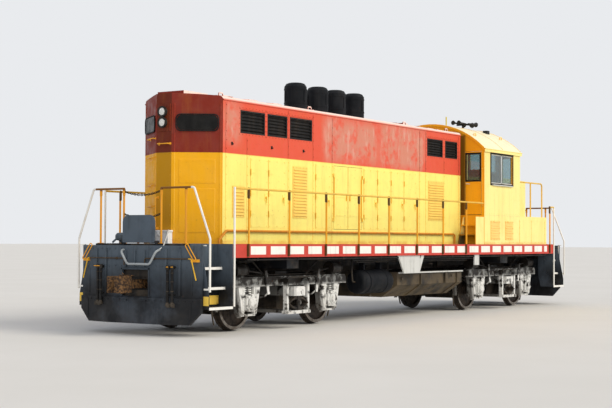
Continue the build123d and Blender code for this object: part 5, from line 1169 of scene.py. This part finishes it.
def pilot_fittings():
    """Bolt rows, ribs, the mouth's frame, hose clamps and couplings, lever grips and knobs on both pilots."""
    ribs = Shape("pilot_ribs", "slate", 3)
    hoses = Shape("hose_clamps", "black")
    heads = Shape("hose_couplings", "black")
    levers = Shape("angle_cock_levers", "rail")
    bolts = Rows("pilot_bolts", "slate", 13, 10)
    outward = Vector((pilot_side - pilot_middle, pilot_face - pilot_wing, 0)).normalized()
    square = (-outward.y, outward.x, 0)
    for end in each(ends):
        for _ in each(sides):
            for z, lift in ((0.62, plough_lift), (1.22, 0), (1.53, 0)):
                bolts.line([(pilot_x(y) + lift, y, z) for y in (0.7, 1.36)], outward, bolt_pitch)
                bolts.line(run(pilot_face + lift, (0.34, 0.62), z), ahead, bolt_pitch)
            for y in (0.70, 0.97):
                ribs.slab((pilot_x(y), y, 1.12), up, square, outward, 0.82, 0.045, 28)
            for z_first, z_last, lift in ((0.30, 0.62, plough_lift), (0.72, 1.18, 0)):
                ribs.slab((pilot_x(1.2) + lift, 1.2, (z_first + z_last) / 2), up, square, outward,
                          z_last - z_first, 0.03, 10)
            for y in (0.78, 0.87):
                x = pilot_x(y) + mm(75)
                hoses.turned([(0, 0), (36, 0), (36, 60), (27, 75), (0, 75)], (x, y, 1.17), up, 14)
                for z in (0.78, 0.95, 1.1):
                    hoses.turned([(24, 0), (30, 4), (30, 16), (24, 20), (0, 20), (0, 0)], (x, y, z), up, 14)
                heads.turned([(0, 0), (26, 0), (32, -30), (40, -46), (40, -70), (0, -74)],
                             (x, y, 0.60), up, 16)
                heads.slab((x, y + 0.03, 0.545), up, out, ahead, 0.07, 0.06, 22)
                levers.tube([(x, y, 1.2), (x + mm(44), y, 1.215), (x + mm(50), y + 0.05, 1.215)], 7, 14, 8)
            grip = (pilot_x(1.21) + mm(55), 1.21, 1.47)
            levers.tube(rounded_loop(grip, (0, 0.58, -0.815), (0, 0.815, 0.58), 0.34, 0.06, 26), 9)
            levers.slab((pilot_x(1.27), 1.27, 1.325), up, square, outward, 0.05, 0.16, 34)
            ribs.box((pilot_face + mm(40), pilot_face + mm(62)), (0.16, 0.29), (0.60, 0.625))
        frame_x = (pilot_face, pilot_face + mm(16))
        for y in (-0.33, 0.30):
            ribs.box(frame_x, (y, y + 0.03), (0.68, 1.19))
        ribs.box(frame_x, (-0.33, 0.33), (1.157, 1.187))
        for y in (-0.22, 0.0, 0.22):
            ribs.box((pilot_face, pilot_face + mm(30)), span(y, 12), (1.2, 1.5))
        y = -0.57 * end
        ribs.turned([(0, 0), (50, 0), (50, 50), (100, 60), (120, 100), (120, 150), (90, 190), (0, 200)],
                    (7.66, y, deck), up, 20)
        ribs.tube([(7.66, y, deck + 0.1), (7.78, y, deck + 0.1), (7.80, y + 0.1, deck + 0.02)], 18, bend=30)
    build(ribs, hoses, heads, levers, bolts)


def coupler_fittings():
    """The knuckle's pin and lock lift on each coupler, which swing with it."""
    for end in each(ends):
        name = f"coupler_{end_names[end]}"
        irons = Shape(f"{name}_pin", "rust", 3, name)
        x, y = 8.40, end * 0.10
        irons.turned([(0, 0), (30, 0), (30, 14), (18, 22), (0, 22)], (x, y, 1.048), up, 16)
        irons.rod(24, 16, (x, y, 0.758), (0, 0, -1))
        irons.tube([(8.25, 0, 1.04), (8.25, 0, 1.085), (8.22, -0.05 * end, 1.10)], 9, bend=14)
        irons.box((8.13, 8.2), (-0.15, 0.15), (1.048, 1.066))
        irons.build()


# Trucks

wheelbase_half = 1.3715
axle_z = 0.535
side_frame_face = 1.16
cylinder_y, cylinder_z = 1.07, 1.132
spring_ends = (0.352, 0.624)


def leaf_pack(shape, middle, half_length, rise, count, leaf=mm(11), half_width=mm(55)):
    """Half of an elliptic spring: leaves stacked on an arc, each shorter than the last."""
    way = 1 if rise > 0 else -1
    steps = 12
    for number in range(count):
        reach = half_length * (1 - 0.16 * number)
        rows = []
        for offset in (0, leaf * 0.86):
            row = []
            for i in range(steps + 1):
                x = reach * (2 * i / steps - 1)
                height = rise * (1 - (x / half_length) ** 2) - way * (leaf * number + offset)
                row.append((middle[0] + x, middle[1] - half_width, middle[2] + height))
            rows.append(row)
        shape.prism(rows[0] + rows[1][::-1], (0, 2 * half_width, 0))


def truck_details(name):
    """Springs, box lids, brake rods, sand pipes, frame flanges and bolts of one truck."""
    body = f"truck_{name}"
    middle = truck_middles[name]
    iron = Shape(f"{body}_flanges_and_rods", "silver", 2, body)
    dark = Shape(f"{body}_pipes", "black", 0, body)
    lids = Shape(f"{body}_box_lids", "silver", 2, body)
    leaves = Shape(f"{body}_leaf_springs", "black", 0, body)
    bolts = Rows(f"{body}_bolts", "silver", 11, 9, body=body)
    coils = []
    face = side_frame_face
    for side in each(sides):
        iron.box(span(middle, 1880), (face, face + mm(14)), (0.985, 1.007))
        iron.box(span(middle, 1940), (face, face + mm(10)), (0.83, 0.848))
        for x in (-0.95, -0.62, 0.62, 0.95):
            iron.box(span(middle + x, 9), (face, face + mm(10)), (0.848, 0.985))
        leaf_y = 1.27
        centre = sum(spring_ends) / 2
        for z, way in zip(spring_ends, (1, -1)):
            leaves.box(span(middle, 45), span(leaf_y, 66), (z, z + way * mm(88)))
            leaf_pack(leaves, (middle, leaf_y, centre), 0.31, z - centre, 6)
        dark.tube(run(span(middle, 1500), 0.99, 1.03), 14)
        dark.tube(run(span(middle, 350), 1.30, 0.985), 12)
        for place in (-1, 1):
            leaves.tube(run(middle + place * 0.31, span(leaf_y, 60), centre), 16)
            axle = middle + place * wheelbase_half
            lids.turned([(0, 0), (92, 0), (96, 8), (84, 20), (40, 24), (0, 24)], (axle, 1.242, axle_z), out)
            lids.box(span(axle, 150), (1.20, 1.212), (0.40, 0.67))
            bolts.circle((axle, 1.262, axle_z), out, 70, 6)
            for x in (axle - 0.125, axle + 0.125):
                for z in (0.42, 0.64):
                    bolts.line([(x, 1.212, z)] * 2, out, 1)
            for leg in (-1, 1):
                leg_x = axle + leg * 0.19
                iron.box(span(leg_x, 16), (face, face + mm(12)), (0.34, 0.80))
                bolts.line(run(leg_x, face + mm(12), (0.38, 0.76)), out, 0.19)
                coils.append((axle + leg * 0.076, side * 1.07, 0.695))
            iron.rod(14, 120, (axle - 0.2, 1.07, 0.275), ahead, 10, start=-60)
            cylinder_x = middle + place * 1.6
            for way in (-1, 1):
                face_x = cylinder_x + way * 0.165
                lids.ring((face_x - way * mm(16), cylinder_y, cylinder_z), (way, 0, 0), 134, 96, 18)
                bolts.circle((face_x + way * mm(2), cylinder_y, cylinder_z), (way, 0, 0), 114, 8)
            rod_x = middle + place * 0.86
            iron.tube([(cylinder_x - place * 0.165, cylinder_y, cylinder_z), (rod_x, 1.10, 1.06)], 18)
            iron.slab((rod_x, 1.185, 0.90), (place * 0.22, 0, 0.975), (0.975, 0, -place * 0.22), out,
                      0.46, 0.07, 18)
            iron.tube(run(rod_x, (1.06, 1.205), 1.06), 16)
            iron.tube([(middle + place * x, y, z)
                       for x, y, z in ((0.81, 1.194, 0.72), (0.80, 1.10, 0.64), (0.83, 0.80, 0.56))],
                      15, bend=80)
            dark.tube([(cylinder_x - place * x, y, z)
                       for x, y, z in ((0, 1.07, 1.25), (0, 1.07, 1.29), (0.5, 1.02, 1.29),
                                       (0.9, 1.0, 1.02))],
                      17, bend=70)
            pipe_x = middle + place * 1.93
            dark.tube([(pipe_x + place * mm(x), y, z)
                       for x, y, z in ((0, 0.90, 0.96), (50, 0.84, 0.80), (60, 0.76, 0.40),
                                       (-30, 0.745, 0.13))],
                      16, bend=90)
            dark.box((pipe_x - mm(10), pipe_x + place * mm(80)), (0.80, 0.86), (0.86, 0.89))
    build(iron, dark, lids)
    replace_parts(leaves.build(), f"truck_{name}_springs")
    grow(f"{body}_coil_springs", "coils", coils, "silver", body,
         Radius=mm(50), Height=mm(128), Wire=mm(12), Turns=3.5)
    bolts.build()


def wheel_details():
    """The polished tread ring of each wheel, which turns with its axle."""
    for number in (1, 2, 3, 4):
        name = f"wheelset_{number}"
        rings = Shape(f"{name}_rim_faces", "tread", body=name)
        for _ in each(sides):
            rings.ring(((low(name).x + high(name).x) / 2, 0.8199, axle_z), out, 503, 448, 1.2, 48)
        rings.build()


# Tank, reservoirs and pipes below the sills

# Pipes along the sills: both ends in x, then y and z
sill_pipes = (((-6.6, 6.6), 1.47, 1.335), ((-2.9, 2.6), 1.40, 1.29), ((-2.6, 2.4), 1.30, 1.25))
pipe_hangers = (-6.3, -5.0, -3.4, -1.9, -0.2, 1.3, 2.9, 4.6, 6.2)
tank_edge_z = 1.007
reservoir_y = 1.09


def tank_details():
    """Straps, edge strips, fillers and gauges of the tank, pipes of the reservoirs and sills, trunking."""
    trunking = Shape("belly_trunking_and_shade_plates", "black", 3)
    straps = Shape("tank_straps", "tank", 2)
    strips = Shape("tank_edge_painted_highlight", "clean silver")
    pipes = Shape("sill_pipes", "black")
    fillers = Shape("tank_fillers_and_gauges", "tank")
    rivets = Rows("sill_rivets", "sill", 9, 5, "studs")
    half, bottom, top = tank_high.y, tank_low.z, tank_edge_z
    for x in (0.2, 1.95):
        profile = [(half, top), (half, bottom + 0.27), (half - 0.4, bottom - mm(5))]
        outline = [(-y, z) for y, z in profile] + profile[::-1]
        straps.prism([(x - 0.04, y * 1.004, z) for y, z in outline], (mm(22), 0, 0))
    for _ in each(sides):
        # A strip along the tank's top edge, painted pale as a highlight
        strips.box((tank_low.x, 2.2), (half, half + mm(8)), (top - mm(30), top))
        fillers.turned([(0, 0), (60, 0), (60, 18), (30, 24), (0, 24)], (0.65, half - mm(40), 1.167), up, 18)
        fillers.box((1.30, 1.42), (half, half + mm(22)), (0.72, 0.98))
        fillers.turned([(0, 0), (34, 0), (34, 30), (0, 32)], (1.62, half, 0.90), out, 16)
        fillers.rod(30, 40, (0.3, half - 0.3, bottom + 0.18), (0, 0.5, -1), 12)
        fillers.rod(45, 16, (-0.68, half, 0.86), out)
        for x, way in ((-2.3, -1), (-1.06, 1)):
            pipes.tube([(x + way * reach, reservoir_y, z)
                        for reach, z in ((0, 0.83), (0.09, 0.83), (0.12, 1.0), (0.12, 1.4))], 18, bend=60)
        pipes.tube(run(-1.68, reservoir_y, (0.585, 0.50)), 14)
        fillers.slab((-1.68, reservoir_y, 0.515), ahead, out, up, 0.09, 0.02, 14)
        for x_ends, y, z in sill_pipes:
            pipes.tube(run(x_ends, y, z), 17)
        for x in pipe_hangers:
            pipes.box(span(x, 14), (1.27, 1.50), (1.352, 1.372))
            pipes.box(span(x, 14), (1.455, 1.49), (1.31, 1.36))
        for x_ends in ((-6.9, -5.3), (-4.15, -2.4), (2.4, 4.15), (5.3, 6.9)):
            trunking.box(x_ends, (0.5, 0.52), (1.1, 1.42))
        for z in (1.393, 1.60):
            rivets.line(run((-7.0, 7.0), sill_half, z), out, 0.155)
    for x_ends in ((-6.95, -5.2), (-4.25, 4.25), (5.2, 6.95)):
        trunking.box(x_ends, (-0.14, 0.14), (1.03, 1.15))
    # Dark plates behind and inside each pilot's mouth stand in for shade, where the floor would show through
    for _ in each(ends):
        trunking.box((7.6, 7.62), (-0.46, 0.46), (1.065, 1.3))
        for z_ends in ((1.03, 1.17), (0.62, 0.8)):
            trunking.box((7.86, 7.875), (-0.36, 0.36), z_ends)
    build(trunking, straps, strips, pipes, fillers, rivets)


# Cab and nose

# Panes as both ends along their wall, then both ends in z
side_window = ((3.33, 4.54), (3.107, 3.817))
front_windows = ((0.11, 0.82), (3.467, 4.157))
door_pane = ((1.03, 1.37), (3.177, 3.797))


def window_frame(shape, pane, wall, outward, width=mm(26)):
    """Four bars round a window, lying on the wall outside its hole; its wall looks ahead, back or out."""
    centre, middle_z = (sum(pair) / 2 for pair in pane)
    length, height = (pair[1] - pair[0] for pair in pane)
    middle, along = ((centre, wall, middle_z), ahead) if outward == out else ((wall, centre, middle_z), out)
    middle, along, over = Vector(middle), Vector(along), Vector(up)
    for way in (-1, 1):
        level = middle + over * (way * (height + width) / 2)
        upright = middle + along * (way * (length + width) / 2)
        shape.slab(level, along, up, outward, length + 2 * width, width, 9)
        shape.slab(upright, along, up, outward, width, height, 9)


def cab_fittings():
    """Window gaskets and sashes, drip rails, grab irons, wipers, rivets and vents of the cab."""
    gaskets = Shape("cab_window_gaskets", "rubber", 3)
    sashes = Shape("cab_window_sashes", "clean silver", 2)
    strips = Shape("cab_drip_rails", "cab", 2)
    irons = Shape("cab_grab_irons", "rail")
    rivets = Rows("cab_rivets", "cab", 8, 4, "studs")
    x_ends, (z_first, z_last) = side_window
    wall, front = cab_high.y, cab_high.x
    wall_length = (cab_low.x, front)
    sash_y = (wall - mm(45), wall - mm(12))
    wiper_z = front_windows[1][1]
    for _ in each(sides):
        window_frame(gaskets, side_window, wall, out, width=mm(52))
        window_frame(gaskets, front_windows, front, ahead)
        sashes.box((3.915, 3.955), sash_y, (z_first, z_last))
        for z in (z_first, z_last - mm(22)):
            sashes.box(x_ends, sash_y, (z, z + mm(22)))
        sashes.box(inset(x_ends, 0.05), (wall, wall + mm(45)), (z_first - mm(52), z_first - mm(30)))
        sashes.tube([(front + mm(12), 0.46, wiper_z + mm(40)), (front + mm(22), 0.52, wiper_z - 0.15),
                     (front + mm(14), 0.62, wiper_z - 0.42)], 7, 40, 8)
        strips.box(inset(x_ends, -0.05), (wall, wall + mm(50)), (z_last + mm(40), z_last + mm(50)))
        strips.tube(run((cab_roof_low.x, cab_roof_high.x), 1.528, 3.932), 15)
        for z in (2.36, 3.02):
            rivets.line(run(inset(wall_length, 0.05), wall, z), out, 0.11)
        for x in inset(wall_length, 0.04):
            rivets.line(run(x, wall, (2.4, 3.85)), out, 0.11)
        grab_iron(irons, (cab_low.x, -1.462, 3.0), up, back, 0.9, standoff=60)
        grab_iron(irons, (front, 1.46, 3.1), up, ahead, 0.9, standoff=60)
        for x in (3.25, 4.7):
            eye(strips, x, 1.1, cab_roof_height(1.1), 50, 70, 12, 40)
    for x in (cab_roof_low.x + mm(12), 3.98, cab_roof_high.x - mm(12)):
        arc = [1.5 * (i / 8 - 1) for i in range(17)]
        strips.tube([(x, y, cab_roof_height(y) + mm(2)) for y in arc], 11, count=6)
    strips.box((3.2, 3.6), (0.45, 0.85), (cab_roof_height(0.85), cab_roof_height(0.45) + mm(50)))
    build(gaskets, sashes, strips, irons, rivets)


def cab_door_fittings():
    """Gasket, handle and rivets of each cab door, which swing with it. The rear door is on the right side."""
    for end in each(sides):
        body = f"cab_door_{end_names[end]}"
        face = cab_low.x if end < 0 else cab_high.x
        outward = (end, 0, 0)
        gasket = Shape(f"{body}_gasket", "rubber", 3, body)
        handle = Shape(f"{body}_handle", "clean silver", 2, body)
        rivets = Rows(f"{body}_rivets", "cab", 7, 4, "studs", body)
        window_frame(gasket, door_pane, face, outward, width=mm(42))
        handle.tube([(face + end * mm(38), 1.025, 3.087), (face + end * mm(44), 1.13, 3.08)], 11)
        for y in (1.005, 1.395):
            rivets.line(run(face, y, (2.45, 3.1)), outward, 0.13)
        build(gasket, handle, rivets)


seat_y = 1.06
# Cushion and back: size, x, height over the floor, tilt
pads_of_seat = (((0.45, 0.44, 0.095), 3.985, 0.45, 0), ((0.075, 0.42, 0.44), 3.79, 0.73, -0.13))


def seat(side):
    """A pedestal seat: crowned cushion and back, armrest, and a round post."""
    post = Shape(f"seat_post_{side_names[side]}", "black", 5)
    post.turned([(0, 0), (160, 0), (160, 20), (60, 40), (45, 60), (45, 380), (120, 400), (0, 400)],
                (3.98, seat_y, cab_floor), up)
    post.box((3.83, 4.10), (1.29, 1.33), (cab_floor + 0.6, cab_floor + 0.67))
    post.box((3.86, 3.9), (1.29, 1.33), (cab_floor + 0.42, cab_floor + 0.6))
    post.build()
    pads = bmesh.new()
    for size, x, height, tilt in pads_of_seat:
        made = bmesh.ops.create_cube(pads, size=1.0)
        turn = (Matrix.Translation((x, side * seat_y, cab_floor + height)) @ Matrix.Rotation(tilt, 4, "Y")
                @ Matrix.Diagonal((*size, 1.0)))
        bmesh.ops.transform(pads, matrix=turn, verts=made["verts"])
    bmesh.ops.subdivide_edges(pads, edges=pads.edges, cuts=6, use_grid_fill=True)
    mesh = bpy.data.meshes.new("pads")
    pads.to_mesh(mesh)
    pads.free()
    worker = in_scene(bpy.data.objects.new("pads", mesh))
    soften = worker.modifiers.new("round", "SUBSURF")
    soften.levels = soften.render_levels = 2
    return dress(baked(worker), f"seat_pads_{side_names[side]}", "locomotive", "vinyl", sharp_angle=80)


def cab_interior():
    """Both seats, and the gauges and knobs of the driver's desk."""
    pads = [seat(side) for side in each(sides)]
    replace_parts(pads[0], "cab_seats")
    gauges = Shape("desk_gauges", "chrome")
    knobs = Shape("control_knobs", "red spot")
    for y in (-0.62, -0.5, -0.38):
        gauges.turned([(0, 0), (48, 0), (48, 12), (40, 18), (0, 14)], (4.36, y, 3.5), (-0.35, 0, 1), 20)
    for x, height in ((4.2, 0.9), (4.26, 1.0), (4.32, 1.09)):
        spot = (x, -0.8, cab_floor + height)
        knobs.turned([(0, 0), (20, 8), (24, 24), (16, 40), (0, 44)], spot, (0, -1, 0), 14)
    build(gauges, knobs)


def nose_fittings():
    """Door, grab irons, hand brake wheel and bolts on the low nose, latches on the battery boxes."""
    plates = Shape("nose_door", "cab", 2)
    irons = Shape("nose_grab_irons", "rail")
    wheel = Shape("hand_brake_wheel", "black")
    bolts = Rows("nose_bolts", "cab", 9, 7)
    front = nose_high.x
    plates.box((front, front + mm(7)), (-0.33, 0.33), (1.85, 3.02))
    plates.box((front, front + mm(22)), (0.22, 0.28), (2.35, 2.50))
    for y in (-0.3, 0.3):
        bolts.line(run(front + mm(7), y, (1.9, 2.98)), ahead, bolt_pitch)
    for z in (1.88, 2.99):
        bolts.line(run(front + mm(7), (-0.3, 0.3), z), ahead, bolt_pitch)
    for z in (2.1, 2.45, 2.8):
        grab_iron(irons, (front, 0.55, z), out, ahead, 0.34)
    hub = Vector((front, -0.55, 2.6))

    def on_rim(turn):
        return hub + Vector((0.11, 0.24 * cos(turn), 0.24 * sin(turn)))

    wheel.tube([on_rim(2 * pi * i / 24) for i in range(25)], 13)
    for i in range(5):
        wheel.tube([hub + Vector((0.09, 0, 0)), on_rim(2 * pi * i / 5 + 0.3)], 9, count=8)
    wheel.turned([(0, 0), (50, 0), (50, 30), (30, 60), (30, 120), (0, 130)], hub, ahead, 16)
    inner_wall = battery_wall - mm(17)
    for _ in each(sides):
        for x_ends, z_ends in battery_doors:
            bolts.frame(inset(x_ends, 0.02), inset(z_ends, 0.02), battery_wall, 0.15)
            plates.box(span(sum(x_ends) / 2, 100), (battery_wall - mm(8), battery_wall + mm(4)),
                       (z_ends[1] - 0.03, z_ends[1]))
        for x in (4.98, 5.7, 6.55):
            plates.box(span(x, 14), (inner_wall, inner_wall + mm(5)), (deck + 0.03, 2.25))
            bolts.line(run(x, inner_wall + mm(5), (deck + 0.1, 2.2)), out, 0.15)
        bolts.line(run((3.05, 6.6), inner_wall, deck + 0.05), out, 0.22)
        bolts.line([(5.1, nose_high.y, 3.15), (6.5, nose_high.y, 3.12)], out, 0.2)
    build(plates, irons, wheel, bolts)


hood_fittings()
engine_door_irons()
hood_end_fittings()
lamp_fittings()
roof_details()
rail_fittings()
step_fittings()
pilot_fittings()
coupler_fittings()
truck_details("rear")
truck_details("front")
wheel_details()
tank_details()
cab_fittings()
cab_door_fittings()
cab_interior()
nose_fittings()


# Floor, light and camera

# Name, strength, angular width in degrees, colour, and the way the light comes from
suns = (("key", 1.9, 32, "fff6e6", (0.22, -0.78, 0.62)), ("fill", 0.9, 45, "fff4e2", (-0.74, -0.6, 0.32)))
floor_reach = 400


def pale_floor():
    """A wide floor with faint cloudy patches."""
    look = Look("pale studio floor")
    colour = look.layer("e4e2de", "dcdad5", look.patches(4000, 0.3, 0.7), 0.5)
    mesh = bpy.data.meshes.new("floor")
    ends_of_floor = (-floor_reach, floor_reach)
    mesh.from_pydata([(x, y, 0) for x in ends_of_floor for y in ends_of_floor], [], [(0, 2, 3, 1)])
    mesh.materials.append(look.close({"Base Color": colour, "Roughness": 0.9}))
    in_scene(bpy.data.objects.new("floor", mesh))


def studio_light():
    """A pale sky that is brighter to the eye and in mirrors than as a light, and two wide suns."""
    world = bpy.data.worlds.new("studio")
    bpy.context.scene.world = world
    world.use_nodes = True
    tree = world.node_tree
    tree.nodes.clear()
    rays = add_node(tree, "ShaderNodeLightPath").outputs
    direct = add_node(tree, "ShaderNodeMath", {0: rays["Is Camera Ray"], 1: rays["Is Glossy Ray"]},
                      operation="MAXIMUM")
    seen = add_node(tree, "ShaderNodeMath", {0: direct, 1: rays["Is Transmission Ray"]}, operation="MAXIMUM")
    shown = add_node(tree, "ShaderNodeBackground", {"Color": linear("e9ebee"), "Strength": 1.0})
    lighting = add_node(tree, "ShaderNodeBackground", {"Color": linear("e8eefa"), "Strength": 0.55})
    sky = add_node(tree, "ShaderNodeMixShader", {0: seen, 1: lighting, 2: shown})
    add_node(tree, "ShaderNodeOutputWorld", {"Surface": sky})
    for name, energy, spread, colour, from_way in suns:
        sun = bpy.data.lights.new(name, "SUN")
        sun.energy = energy
        sun.angle = radians(spread)
        sun.color = linear(colour)[:3]
        lamp = in_scene(bpy.data.objects.new(name, sun))
        lamp.rotation_euler = Vector(from_way).to_track_quat("Z", "Y").to_euler()


def camera():
    """Where the photographer stood, turned to the locomotive and with a longer lens to fill the frame."""
    data = bpy.data.cameras.new("camera")
    data.sensor_width = 36
    data.lens = 76
    data.clip_end = 1000
    stand = in_scene(bpy.data.objects.new("camera", data))
    stand.location = (-25.28, -15.306, 1.673)
    yaw, pitch, roll = radians(33.92), radians(1.65), radians(0.26)
    stand.rotation_euler = (Matrix.Rotation(yaw - pi / 2, 3, "Z") @ Matrix.Rotation(pi / 2 + pitch, 3, "X")
                            @ Matrix.Rotation(roll, 3, "Z")).to_euler()
    bpy.context.scene.camera = stand


pale_floor()
studio_light()
camera()
bpy.context.scene.view_settings.view_transform = "Standard"
